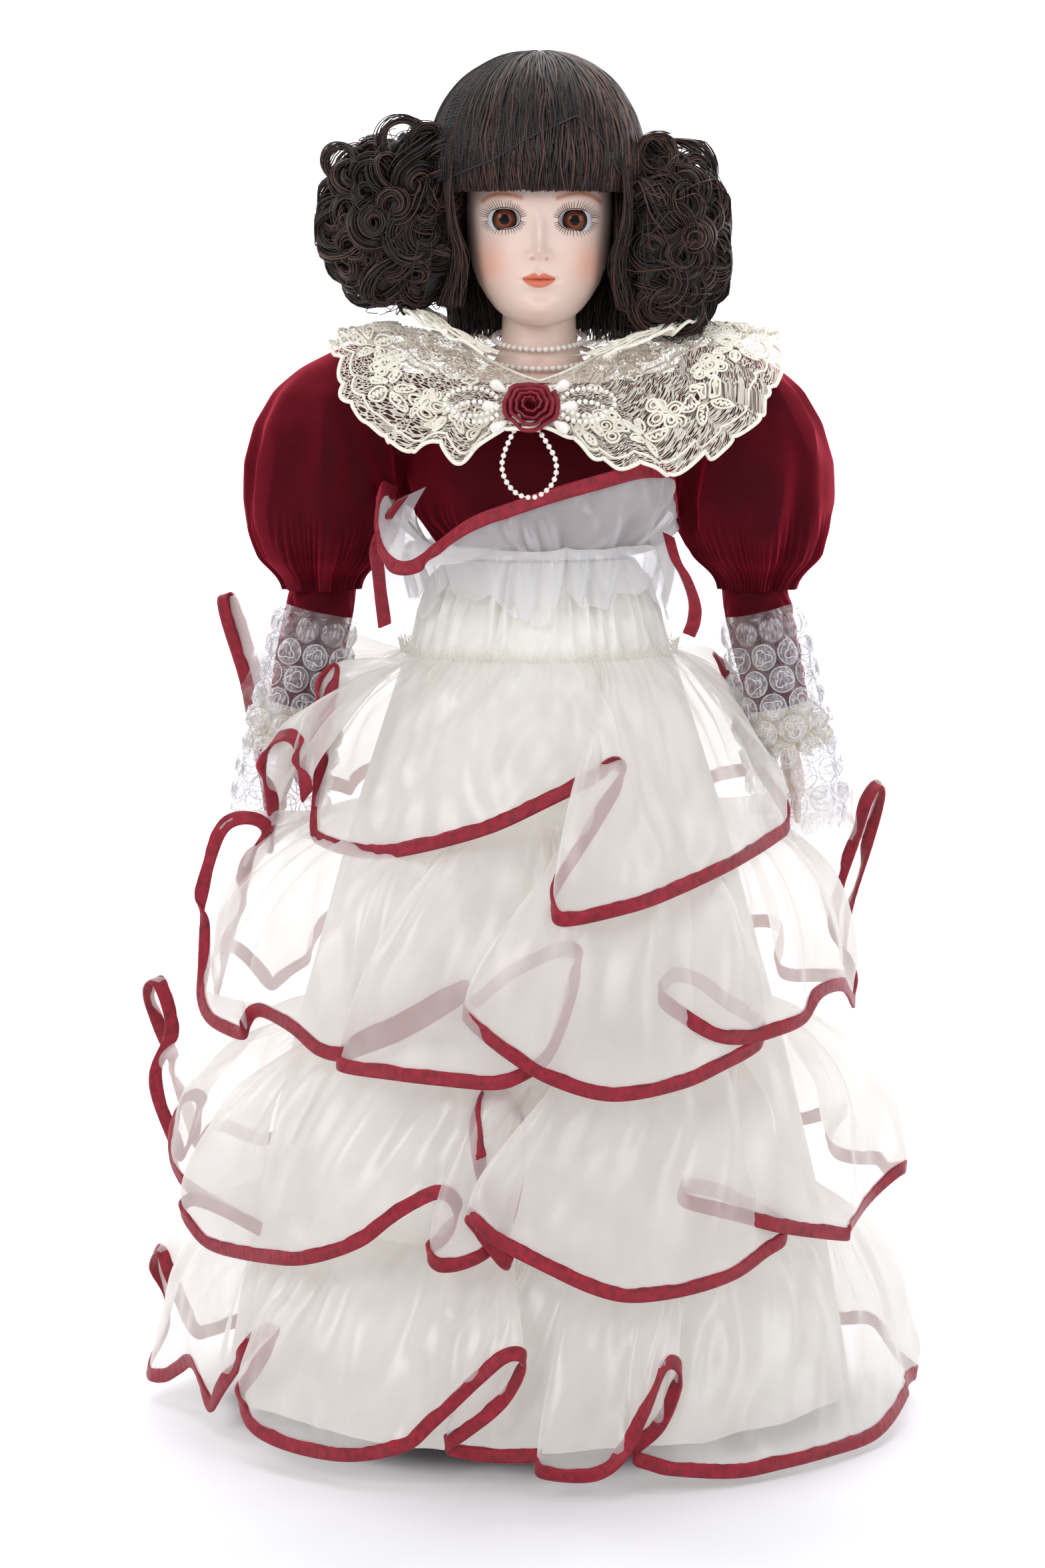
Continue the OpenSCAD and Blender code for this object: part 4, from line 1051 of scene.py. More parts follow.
def bust():
    nu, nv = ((640, 44))
    H = resample(catmull(BUST_TOP, 14, True), nu, True)
    for _ in range(3):
        H = 0.5 * H + 0.25 * (np.roll(H, 1, 0) + np.roll(H, -1, 0))
    th = seam_angle(H, 50, 45)
    S = np.stack([38.6 * np.cos(th), 32.8 * np.sin(th), np.full(nu, 368.6)], 1)
    u = (np.arange(nu) / nu)[:, None]
    v = np.linspace(0, 1, nv)[None]
    out = np.stack([np.cos(th), np.sin(th), 0 * th], 1)
    rise = np.clip(H[:, 2] - 368, 6, 60)
    T0 = out * (38 + 6 * noise1(u[:, 0], 301, 3, 5))[:, None] + np.array([0, 0, 1.0]) * (2 + rise * 0.1)[:, None]
    T1 = np.array([0, 0, 1.0]) * (rise * 1.25)[:, None] - unit(H * np.array([1, 1, 0])) * 9
    V = v[..., None]
    P = (2 * V ** 3 - 3 * V ** 2 + 1) * S[:, None] + (V ** 3 - 2 * V ** 2 + V) * T0[:, None] + (-2 * V ** 3 + 3 * V ** 2) * H[:, None] + (V ** 3 - V ** 2) * T1[:, None]
    N_ = unit(P * np.array([1, 1, 0]))
    g1 = np.sin(2 * math.pi * (64 * u + 1.2 * noise1(u, 302, 3, 3)))
    g2 = np.sin(2 * math.pi * (23 * u + 1.4 * noise1(u, 303, 3, 2) + 0.2 * v))
    d = 1.1 * g1 * np.exp(-((v - 0.08) / 0.2) ** 2) + 3.2 * g2 * sm(0.05, 0.35, v) * (1 - sm(0.52, 0.86, v)) + 0.8 * noise2(u + 0 * v, v + 0 * u, 304, 18, 30, 3) * sm(0.1, 0.4, v) * (1 - sm(0.8, 1, v))
    P = P + N_ * d[..., None]
    P[..., 2] += (1.2 * g2 * sm(0.1, 0.4, v) * (1 - sm(0.5, 0.9, v)))
    s = np.concatenate([[0], np.cumsum(np.linalg.norm(np.diff(H, axis=0), axis=1))])
    uv = np.stack([s[:, None] + 0 * v, 45 * v + 0 * u], -1)
    ob = grid("bust_flounce_organza", P, cu=True, mat=M_ORG2, uv=uv)
    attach(ob, "doll"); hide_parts("bust_flounce")
    acr = unit(P[:, -4] - P[:, -1])
    kk = 6
    ker = np.hanning(2 * kk + 1); ker /= ker.sum()
    acr = unit(np.stack([np.convolve(np.concatenate([acr[-kk:, c], acr[:, c], acr[:kk, c]]), ker, "valid") for c in range(3)], 1))
    rb = ribbon_along("bust_ribbon_satin", H, acr, 6.2, 310, True)
    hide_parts("bust_ribbon")
    # petals of the same flounce that fall over the gathered waist
    nv = 30
    th = np.arange(nu) / nu * 2 * math.pi
    v = np.linspace(0, 1, nv)[None]
    pet = np.abs(np.sin(math.pi * (6 * u + 0.35 * noise1(u, 321, 2, 2)))) ** 0.5
    wob = noise1(u, 322, 3, 5)
    ex = 13.5 * np.sin(math.pi * np.minimum(v * 0.78, 1)) + 3.0 * v
    dz = 15 * np.sin(math.pi * v * 0.55) - (21 + 17 * pet + 5 * wob) * v ** 2.1
    g = np.sin(2 * math.pi * (58 * u + 1.1 * noise1(u, 323, 3, 3)))
    g3 = np.sin(2 * math.pi * (17 * u + 1.1 * noise1(u, 324, 3, 2) + 0.3 * v))
    ex = ex * (0.85 + 0.25 * pet) + 0.8 * g * np.exp(-((v - 0.1) / 0.25) ** 2) + 3.2 * g3 * v
    rx = 40 + ex
    ry = 34.5 + ex
    Q = np.stack([rx * np.cos(th)[:, None], ry * np.sin(th)[:, None], 369 + dz], -1)
    r = rings(SK_Z, SK, Q[..., 2])
    q = np.sqrt((Q[..., 0] / (r[..., 0] + 3.4)) ** 2 + (Q[..., 1] / (r[..., 1] + 3.4)) ** 2)
    Q[..., :2] /= np.minimum(q, 1)[..., None]
    pb = grid("bust_petals_organza", Q, cu=True, mat=M_ORG2, uv=np.stack([u * 300 + 0 * v, 40 * v + 0 * u], -1))
    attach(pb, "doll")
    # the flounce's ends hang down under each arm
    for nm, pts in (("right", [(-59,-37,394),(-66,-40,384),(-70,-40,374),(-69,-36,362),(-68,-32,350),(-67,-29,340)]),
                    ("left", [(56,-28,378),(59,-33,368),(63,-35,361),(67,-34,350),(67,-31,342),(65,-28,336)])):
        C = resample(catmull(pts, 10), 70)
        t = np.linspace(0, 1, 12)[None, :, None]
        inn = C * np.array([0.80, 0.72, 1]) + np.array([0, 0, 5.0])
        W = C[:, None] * (1 - t) + inn[:, None] * t
        W[..., 1] += 1.5 * np.sin(W[..., 2] / 4.0) * t[..., 0]
        tl = grid(f"bust_tail_{nm}", W, mat=M_ORG2, uv=np.stack([np.linspace(0, 55, 70)[:, None] + 0 * t[..., 0], 14 * t[..., 0] + np.zeros((70, 1))], -1))
        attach(tl, "doll")
        ac = unit(W[:, 4] - W[:, 0])
        r2 = ribbon_along(f"bust_tail_ribbon_{nm}", C, ac, 6, 330)


bodice()
for sd, nm in ((1, "left"), (-1, "right")):
    puff(sd, f"arm_{nm}")
    lower_arm(sd, f"hand_{nm}")
bust()


# ---------------------------------------------------------------- head
def gauss(x, z, cx, cz, sx, sz):
    return np.exp(-((x - cx) / sx) ** 2 - ((z - cz) / sz) ** 2)


EYE_C = [(-14.6, 509.4), (14.8, 509.0)]
SKIN = np.array(lin(233, 208, 196))
BLUSH = np.array(lin(226, 158, 128))
LIP = np.array(lin(212, 112, 82))
BROW = np.array(lin(196, 104, 44))


def skin_mat():
    k = NT("bisque_face")
    at = k.n("Attribute", attribute_name="Col")
    tc = k.n("TexCoord")
    nz = k.n("TexNoise", Scale=45, Detail=4)
    k.link(tc.outputs["Object"], nz.inputs["Vector"])
    mx = k.n("MixRGB", blend_type="MULTIPLY")
    mx.inputs["Fac"].default_value = 1.0
    k.link(at.outputs["Color"], mx.inputs["Color1"])
    k.link(k.ramp(nz.outputs["Fac"], [(0.3, (0.97, 0.965, 0.96)), (0.7, (1, 1, 1))]), mx.inputs["Color2"])
    p = k.n("BsdfPrincipled", Roughness=0.42)
    k.link(mx.outputs[0], p.inputs["Base Color"])
    p.inputs["Subsurface Weight"].default_value = 0.16
    p.inputs["Subsurface Radius"].default_value = (0.003, 0.0012, 0.0007)
    p.inputs["Subsurface Scale"].default_value = 0.5
    p.inputs["Specular IOR Level"].default_value = 0.35
    n2 = k.n("TexNoise", Scale=2600, Detail=2)
    k.link(tc.outputs["Object"], n2.inputs["Vector"])
    bp = k.n("Bump", Strength=0.06, Distance=0.0002)
    k.link(n2.outputs["Fac"], bp.inputs["Height"])
    k.link(bp.outputs[0], p.inputs["Normal"])
    k.link(p.outputs[0], k.out.inputs["Surface"])
    return k.m


M_SKIN = skin_mat()
HZ = [550, 549.3, 547, 542, 534, 524, 514, 505, 497, 490, 483, 477, 472, 468.6, 466.6, 465.6]
HT = [[1.5, -1, 6], [8, -8, 14], [16, -16, 24], [23.5, -24.5, 33], [28.5, -30, 39], [30.8, -32.6, 42], [31.0, -33.2, 42.5], [30.6, -33.0, 41.5],
      [29.8, -33.2, 39], [28.2, -33.6, 35], [25.6, -33.8, 30], [22, -33.4, 25], [18.2, -32.2, 21], [14.2, -30, 18], [10.5, -27, 16], [7, -23, 13]]


def head():
    nt = 370
    nz_ = 266
    # angles packed towards the face
    t = np.arange(nt) / nt
    ang = 2 * math.pi * t + 0.55 * np.sin(2 * math.pi * t)
    ang = ang - math.pi  # -pi..pi, face at +-pi -> shift so the face is at 0
    ang = ang + math.pi
    z = np.concatenate([np.linspace(550, 530, int(nz_ * 0.16), endpoint=False), np.linspace(530, 465.6, nz_ - int(nz_ * 0.16))])
    T = rings(HZ, HT, z)
    for _ in range(10):
        T[1:-1] = 0.5 * T[1:-1] + 0.25 * (T[:-2] + T[2:])
    a = math.pi + ang  # 0 or 2pi is the back; pi would be the front
    # a measured from the back
    X = T[None, :, 0] * np.sin(a)[:, None]
    cosa = np.cos(a)[:, None]
    yc = 5.0
    Yb = yc + (T[None, :, 2] - yc) * np.clip(-cosa, 0, 1)
    Yf = yc + (T[None, :, 1] - yc) * np.sign(np.clip(cosa, 0, 1)) * np.abs(np.clip(cosa, 0, 1)) ** 0.86
    Y = np.where(cosa > 0, Yf, Yb)
    Z = z[None] + 0 * X
    fr = sm(0.12, 0.5, cosa) + 0 * X
    d = 0
    d = d + 6.6 * gauss(X, Z, 0, 496.6, 2.5, 2.9) + 3.4 * gauss(X, Z, 0, 503.5, 2.6, 7.5) + 1.9 * gauss(X, Z, -4.0, 494.7, 2.0, 1.9) + 1.9 * gauss(X, Z, 4.0, 494.7, 2.0, 1.9)
    d = d - 1.0 * gauss(X, Z, -2.7, 493.0, 0.9, 0.6) - 1.0 * gauss(X, Z, 2.7, 493.0, 0.9, 0.6)
    for s in (-1, 1):
        d = d + 1.5 * gauss(X, Z, s * 18, 491, 9, 9)
        d = d - 2.1 * gauss(X, Z, s * 14.2, 508.5, 8.5, 6.5)
        d = d + 0.9 * gauss(X, Z, s * 15, 517.5, 9, 3.0)
    d = d + 2.3 * gauss(X, Z, 0, 486.0, 5.2, 1.7) + 0.5 * gauss(X, Z, -1.9, 487, 1.5, 1.2) + 0.5 * gauss(X, Z, 1.9, 487, 1.5, 1.2)
    d = d + 2.7 * gauss(X, Z, 0, 482.6, 4.6, 1.9)
    d = d - 1.25 * gauss(X, Z, 0, 484.7, 6.4, 0.55)
    d = d - 0.7 * gauss(X, Z, 0, 489.6, 1.3, 1.8)
    d = d - 1.3 * gauss(X, Z, 0, 478.4, 6.5, 2.2) + 2.4 * gauss(X, Z, 0, 472.6, 6.5, 4.2)
    d = d - 0.6 * gauss(X, Z, -7.4, 484.6, 1.2, 1.4) - 0.6 * gauss(X, Z, 7.4, 484.6, 1.2, 1.4)
    Y = Y - d * fr
    P = np.stack([X, Y, Z], -1)
    # paint
    col = np.broadcast_to(SKIN, P.shape).copy()

    def paint(m, c):
        nonlocal col
        m = np.clip(m * fr, 0, 1)[..., None]
        col = col * (1 - m) + np.asarray(c) * m
    for s in (-1, 1):
        paint(0.62 * gauss(X, Z, s * 21.5, 491, 8.5, 9.5), BLUSH)
        paint(0.20 * gauss(X, Z, s * 14.5, 516, 9, 3.2), lin(224, 176, 156))
        paint(0.5 * gauss(X, Z, s * 2.9, 493.3, 0.85, 0.55), lin(206, 110, 82))
    paint(0.14 * gauss(X, Z, 0, 472, 7, 4), BLUSH)
    # lips: an outline above and below the parting
    ax = np.abs(X + 0.2)
    up = 484.9 + 2.45 * np.sqrt(np.clip(1 - (ax / 6.9) ** 2, 0, 1)) * (1 - 0.28 * np.exp(-(ax / 0.95) ** 2)) * (0.80 + 0.24 * np.exp(-((ax - 2.0) / 1.8) ** 2))
    lo = 484.9 - 3.5 * np.clip(1 - (ax / 6.8) ** 2, 0, 1) ** 0.72
    m = sm(-0.25, 0.25, up - Z) * sm(-0.25, 0.25, Z - lo) * sm(7.0, 6.6, ax)
    paint(m * 0.94, LIP)
    paint(0.75 * m * np.exp(-((Z - 484.75) / 0.32) ** 2), lin(186, 62, 34))
    # brows, combed in short strokes
    for pts in ([(-23.5, 516.9), (-20.5, 519.0), (-15, 519.8), (-7.6, 518.3)], [(7.6, 518.1), (15, 520.0), (21, 519.2), (25.5, 516.6)]):
        C = catmull(pts, 16)
        dd = np.full(X.shape, 99.0)
        for c in C:
            dd = np.minimum(dd, np.hypot(X - c[0], (Z - c[1]) * 1.0))
        paint(1.0 * np.exp(-(dd / 1.0) ** 2) * (0.75 + 0.25 * np.sin(X * 7.0 + Z * 2.0)), BROW)
    # poles closed with a point each
    nu, nv = P.shape[:2]
    F = grid_faces(nu, nv, True, False)
    V = P.reshape(-1, 3)
    top = P[:, 0].mean(0); bot = P[:, -1].mean(0)
    V = np.vstack([V, top, bot])
    C_ = np.vstack([col.reshape(-1, 3), SKIN, SKIN])
    faces = [tuple(f) for f in F] + [(i * nv, (nu + nu * 0 + nu * nv - nu), ((i + 1) % nu) * nv) for i in range(0)]
    ti, bi = nu * nv, nu * nv + 1
    for i in range(nu):
        j = (i + 1) % nu
        faces.append((ti, j * nv, i * nv))
        faces.append((bi, i * nv + nv - 1, j * nv + nv - 1))
    ob = mesh_obj("bisque_head", V, faces, M_SKIN, col=C_)
    bm_fix_normals(ob)
    return ob


def bm_fix_normals(ob):
    import bmesh
    bm = bmesh.new()
    bm.from_mesh(ob.data)
    bmesh.ops.recalc_face_normals(bm, faces=bm.faces)
    bm.to_mesh(ob.data)
    bm.free()


def eye_outline(n=48, grow=0.0):
    t = np.arange(n) / n * 2 * math.pi
    x = (6.7 + grow) * np.sign(np.cos(t)) * np.abs(np.cos(t)) ** 0.92
    z = np.where(np.sin(t) > 0, (4.6 + grow), (4.0 + grow)) * np.sign(np.sin(t)) * np.abs(np.sin(t)) ** 0.9
    return x, z


def cut_eyes(ob):
    for i, (cx, cz) in enumerate(EYE_C):
        x, z = eye_outline()
        n = len(x)
        V = np.concatenate([np.stack([cx + x, np.full(n, -60.0), cz + z], 1), np.stack([cx + x * 0.94, np.full(n, -22.0), cz + z * 0.94], 1)])
        F = [tuple(q) for q in grid_faces(2, n, False, True)] + [tuple(range(n))[::-1], tuple(range(n, 2 * n))]
        c = mesh_obj(f"cutter_{i}", V, F)
        bm_fix_normals(c)
        m = ob.modifiers.new("b", "BOOLEAN")
        m.operation = "DIFFERENCE"; m.solver = "EXACT"; m.object = c
        bpy.context.view_layer.update()
        dg = bpy.context.evaluated_depsgraph_get()
        me = bpy.data.meshes.new_from_object(ob.evaluated_get(dg))
        ob.modifiers.clear()
        old = ob.data
        ob.data = me
        bpy.data.meshes.remove(old)
        bpy.data.objects.remove(c)
    me = ob.data
    me.name = "bisque_head"
    while len(me.materials) > 1:
        me.materials.pop()
    me.polygons.foreach_set("use_smooth", np.ones(len(me.polygons), bool))
    me.set_sharp_from_angle(angle=math.radians(42))
    return ob


def eye_mat():
    k = NT("eye_glass_painted")
    at = k.n("Attribute", attribute_name="Col")
    tc = k.n("TexCoord")
    nz = k.n("TexNoise", Scale=900, Detail=3)
    k.link(tc.outputs["Object"], nz.inputs["Vector"])
    mx = k.n("MixRGB", blend_type="MULTIPLY")
    mx.inputs["Fac"].default_value = 1.0
    k.link(at.outputs["Color"], mx.inputs["Color1"])
    k.link(k.ramp(nz.outputs["Fac"], [(0.35, (0.86, 0.85, 0.85)), (0.65, (1, 1, 1))]), mx.inputs["Color2"])
    p = k.n("BsdfPrincipled", Roughness=0.16)
    k.link(mx.outputs[0], p.inputs["Base Color"])
    p.inputs["Specular IOR Level"].default_value = 0.1
    p.inputs["Coat Weight"].default_value = 0.32
    p.inputs["Coat Roughness"].default_value = 0.02
    k.link(p.outputs[0], k.out.inputs["Surface"])
    return k.m


def eyes():
    M = eye_mat()
    for nm, (cx, cz) in (("right", EYE_C[0]), ("left", EYE_C[1])):
        nu, nv = 140, 110
        th = np.arange(nu) / nu * 2 * math.pi
        ph = np.concatenate([np.linspace(0.0, 0.75, 80), np.linspace(0.75, math.pi, nv - 79)[1:]])
        r = 7.35
        R = np.where(ph < 0.62, r + 0.45 * (1 - (ph / 0.62) ** 2), r)
        c0 = np.array([cx + (0.15 if cx < 0 else -0.15), -21.0, cz - 0.1])
        P = c0 + np.stack([(R * np.sin(ph))[None] * np.cos(th)[:, None], -(R * np.cos(ph))[None] + 0 * th[:, None], (R * np.sin(ph))[None] * np.sin(th)[:, None]], -1)
        q = np.sin(ph)[None] * 7.35 + 0 * th[:, None]
        tt = th[:, None] + 0 * q
        white = np.array(lin(214, 214, 220)); pup = np.array(lin(8, 4, 4)); rim = np.array(lin(26, 11, 8)); iris = np.array(lin(88, 38, 22)); inner = np.array(lin(140, 68, 38))
        ray = 0.5 + 0.25 * np.sin(tt * 31 + 2 * np.sin(tt * 7)) + 0.25 * np.sin(tt * 53 + 1)
        f = sm(1.8, 4.2, q)[..., None]
        ic = inner * (1 - f) + iris * f
        ic = ic * (0.72 + 0.4 * ray[..., None])
        # darker above, where the lid shades it
        ic = ic * (1 - 0.35 * sm(0.0, 3.5, (np.sin(tt) * q)))[..., None]
        rr = sm(3.9, 4.6, q)[..., None]
        ic = ic * (1 - rr) + rim * rr
        a = sm(1.95, 2.25, q)[..., None]
        ic = pup * (1 - a) + ic * a
        b = sm(5.05, 5.3, q)[..., None]
        front = (ph < math.pi / 2)[None, :, None]
        C = np.where(front, ic * (1 - b) + white * b, white)
        ob = grid(f"glass_eye_{nm}", P, cu=True, mat=M, col=C, flip=True)
        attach(ob, "doll"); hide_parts(f"eye_{nm}")


def neck():
    nu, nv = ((300, 120))
    th = np.arange(nu) / nu * 2 * math.pi
    zt = [471, 466, 460, 455, 451, 448, 445, 441, 436, 428, 416, 405]
    tb = [[15.5, 15.5, 6], [15.6, 15.6, 6], [16.0, 15.6, 5.5], [17.0, 16.2, 5], [18.5, 17, 5], [21, 17.8, 5], [24.5, 19.2, 4.5], [31.5, 21.8, 3.6], [39, 25.4, 2.4], [43.5, 30, 1], [43.5, 33, 0.5], [41.5, 34, 0]]
    z = np.linspace(471, 405, nv)
    T = rings(zt, tb, z)
    for _ in range(4):
        T[1:-1] = 0.5 * T[1:-1] + 0.25 * (T[:-2] + T[2:])
    X = T[None, :, 0] * np.cos(th)[:, None]
    Y = T[None, :, 2] + T[None, :, 1] * np.sin(th)[:, None]
    Z = z[None] + 0 * X
    fr = sm(0, 0.4, -np.sin(th))[:, None]
    Y = Y - fr * (0.9 * gauss(X, Z, -14, 446, 10, 1.8) + 0.9 * gauss(X, Z, 14, 446, 10, 1.8) - 1.0 * gauss(X, Z, 0, 449, 2.5, 2.2))
    P = np.stack([X, Y, Z], -1)
    col = np.broadcast_to(SKIN, P.shape).copy()
    m = (0.18 * gauss(X, Z, 0, 447, 12, 5))[..., None]
    col = col * (1 - m) + BLUSH * m
    ob = grid("bisque_neck", P, cu=True, mat=M_SKIN, col=col)
    bm_fix_normals(ob)
    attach(ob, "doll"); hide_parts("shoulder_head")
    return ob


HEAD = cut_eyes(head())
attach(HEAD, "doll"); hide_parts("shoulder_head")
eyes()
neck()


def on_face(bvh, x, z, off=0.12):
    hit = bvh.ray_cast(Vector((x * MM, -0.08, z * MM)), Vector((0, 1, 0)))
    if hit[0] is None:
        return None
    p = np.array(hit[0]) / MM
    n = np.array(hit[1])
    if n[1] > 0:
        n = -n
    return p + n * off


def lashes():
    dg = bpy.context.evaluated_depsgraph_get()
    bvh = BVHTree.FromObject(HEAD, dg)
    L = []
    g = np.random.default_rng(5)
    for cx, cz in EYE_C:
        x, z = eye_outline(720, 0.15)
        # a painted line round the lid
        for up in (True, False):
            n = 24 if up else 20
            for j in range(n):
                t = math.pi * (0.03 + 0.94 * (j + 0.5) / n)
                if not up:
                    t = -t
                k_ = int((t % (2 * math.pi)) / (2 * math.pi) * 720)
                px, pz = x[k_], z[k_]
                d = np.array([px / 6.7 ** 1.0, pz / 4.3])
                d = d / np.linalg.norm(d)
                ln = (3.1 if up else 2.6) * g.uniform(0.85, 1.15)
                sweep = 0.35 * (1 if cx > 0 else -1) * (1 if up else 0.6)
                pts = []
                for s in np.linspace(0, 1, 6):
                    qx = cx + px + d[0] * ln * s + sweep * ln * s * s * 0.5
                    qz = cz + pz + d[1] * ln * s
                    p = on_face(bvh, qx, qz)
                    if p is not None:
                        pts.append(p)
                if len(pts) == 6:
                    L.append(np.array(pts))
    C = np.array(L)
    r = np.array([0.25, 0.25, 0.22, 0.17, 0.12, 0.06])
    m = basic("lash_paint", lin(34, 28, 30), lin(64, 54, 56), 200, 0.5)
    ob = tubes("painted_lashes", C, r, 4, m, flat=0.5)
    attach(ob, "doll")
    R = []
    for cx, cz in EYE_C:
        x, z = eye_outline(90, 0.12)
        pts = []
        for a, b in zip(x, z):
            p = on_face(bvh, cx + a, cz + b, 0.05)
            if p is not None:
                pts.append(p)
        if len(pts) > 40:
            P = np.array(pts)
            R.append(resample(np.vstack([P, P[:1]]), 90))
    if R:
        ob = tubes("painted_lid_lines", np.array(R), 0.2, 6, m)
        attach(ob, "doll")


lashes()


# ---------------------------------------------------------------- hair
def hair_mat(name, dark, mid, light, rough=0.38):
    """each strand has its own shade; a soft highlight runs along it"""
    k = NT(name)
    tc = k.n("TexCoord")
    sp = k.n("SeparateXYZ")
    k.link(tc.outputs["UV"], sp.inputs[0])
    nz = k.n("TexNoise", Scale=30, Detail=3)
    k.link(tc.outputs["Object"], nz.inputs["Vector"])
    f = k.math("ADD", k.math("MULTIPLY", sp.outputs["X"], 0.75), k.math("MULTIPLY", nz.outputs["Fac"], 0.25))
    col = k.ramp(f, [(0.1, dark), (0.6, mid), (0.97, light)])
    p = k.n("BsdfPrincipled", Roughness=rough)
    k.link(col, p.inputs["Base Color"])
    p.inputs["Specular IOR Level"].default_value = 0.55
    p.inputs["Sheen Weight"].default_value = 0.12
    p.inputs["Sheen Tint"].default_value = (*lin(170, 120, 100), 1)
    k.link(p.outputs[0], k.out.inputs["Surface"])
    return k.m


M_HAIR = hair_mat("hair_dark", lin(14, 10, 10), lin(38, 24, 22), lin(104, 68, 56), 0.40)
M_HAIRB = basic("hair_underlayer", lin(14, 10, 11), lin(30, 21, 20), 220, 0.6, stretch=(1, 1, 0.15))


def vol(name, C, R, seed, amp=1.5, node=None):
    nu, nv = 90, 60
    th = np.arange(nu) / nu * 2 * math.pi
    ph = np.linspace(0.02, math.pi - 0.02, nv)
    u = (th / (2 * math.pi))[:, None]
    v = (ph / math.pi)[None]
    k = 1 + amp * 0.02 * noise2(u + 0 * v, v + 0 * u, seed, 20, 7, 5)
    S = np.stack([np.outer(np.cos(th), np.sin(ph)), np.outer(np.sin(th), np.sin(ph)), np.broadcast_to(np.cos(ph), (nu, nv))], -1)
    P = np.asarray(C, float) + S * np.asarray(R, float) * k[..., None]
    ob = grid(name, P, cu=True, mat=M_HAIRB)
    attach(ob, "doll")
    return ob


def dome(phi, th, k=1.0):
    """point on the crown; phi from the front towards the doll's left, th from the top"""
    x = 46.0 * k * np.sin(th) ** 0.92 * np.sin(phi) - 1.5 * np.sin(th)
    y = 5.0 - 46.5 * k * np.sin(th) * np.cos(phi)
    z = 528 + 50.5 * k * np.cos(th)
    return np.stack([x, y, z], -1)


def crown():
    n = 1750
    m = 26
    g = np.random.default_rng(77)
    phi = g.uniform(-math.pi, math.pi, n)
    fringe = np.abs(phi) < 0.93
    th0 = g.uniform(0.02, 0.5, n) ** 1.0
    end = np.where(fringe, 1.70 + g.normal(0, 0.008, n), 1.62)
    t = np.linspace(0, 1, m)[None]
    th = th0[:, None] + (end - th0)[:, None] * t
    k = 1 + g.uniform(-0.016, 0.02, n)[:, None] + 0.010 * np.sin(phi * 9 + 2 * np.sin(phi * 4))[:, None] * np.sin(math.pi * t) + 0.006 * np.sin(t * 9 + g.uniform(0, 6, n)[:, None])
    # strands leave the crown from a point a little behind the top and sweep forward
    sw = 0.10 * np.sin(2 * phi)[:, None] * (1 - t) + g.normal(0, 0.02, n)[:, None] * np.sin(math.pi * t) + 0.02 * np.sin(t * 14 + g.uniform(0, 6, n)[:, None])
    P = dome(phi[:, None] + sw, th, k)
    # the fringe is cut straight across
    zc = 520.9 + g.normal(0, 0.35, n)[:, None]
    low = fringe[:, None] & (P[..., 2] < zc)
    P[..., 2] = np.where(low, zc, P[..., 2])
    # the lower fringe hangs clear of the forehead
    P[..., 1] = np.where(fringe[:, None] & (P[..., 2] < 540), P[..., 1] + 2.0 * sm(540, 521, P[..., 2]), P[..., 1])
    r = 0.50 * np.interp(np.linspace(0, 1, m), [0, 0.1, 0.9, 1], [0.5, 1, 1, 0.5])
    a = tubes("hair_crown", P[~fringe], r, 3, M_HAIR, flat=0.7)
    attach(a, "doll"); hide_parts("wig_crown")
    b = tubes("hair_fringe", P[fringe], r, 3, M_HAIR, flat=0.7)
    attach(b, "doll"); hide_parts("wig_fringe")
    # underlayer of the crown, open under the fringe
    nu, nv = 120, 50
    ph = np.arange(nu) / nu * 2 * math.pi - math.pi
    tt = np.linspace(0.01, 1.0, nv)
    lim = np.where(np.abs(ph) < 1.0, 1.655, 1.95)
    kk = np.where(np.abs(ph) < 1.0, 0.955, 0.97)
    Q = dome(ph[:, None], tt[None] * lim[:, None], kk[:, None] + 0 * tt[None])
    Q[..., 1] = np.where((np.abs(ph) < 1.0)[:, None] & (Q[..., 2] < 540), Q[..., 1] + 1.8 * sm(540, 521, Q[..., 2]), Q[..., 1])
    u = grid("hair_crown_underlayer", Q, cu=True, mat=M_HAIRB)
    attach(u, "doll")
    # second, longer layer of the fringe, curling in at the ends
    n2 = 700
    phi = g.uniform(-0.98, 0.98, n2)
    th = np.linspace(1.15, 1.71, 16)[None] + g.normal(0, 0.01, n2)[:, None]
    P = dome(phi[:, None] + 0.012 * np.sin(th * 22 + g.uniform(0, 6, n2)[:, None]), th, 0.985 + g.uniform(-0.01, 0.02, n2)[:, None])
    P[..., 2] = np.maximum(P[..., 2], 520.5 + g.normal(0, 0.3, n2)[:, None])
    P[..., 1] += 2.0 * sm(540, 521, P[..., 2])
    c = tubes("hair_fringe_underlayer", P, 0.4, 3, M_HAIR, flat=0.7)
    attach(c, "doll")


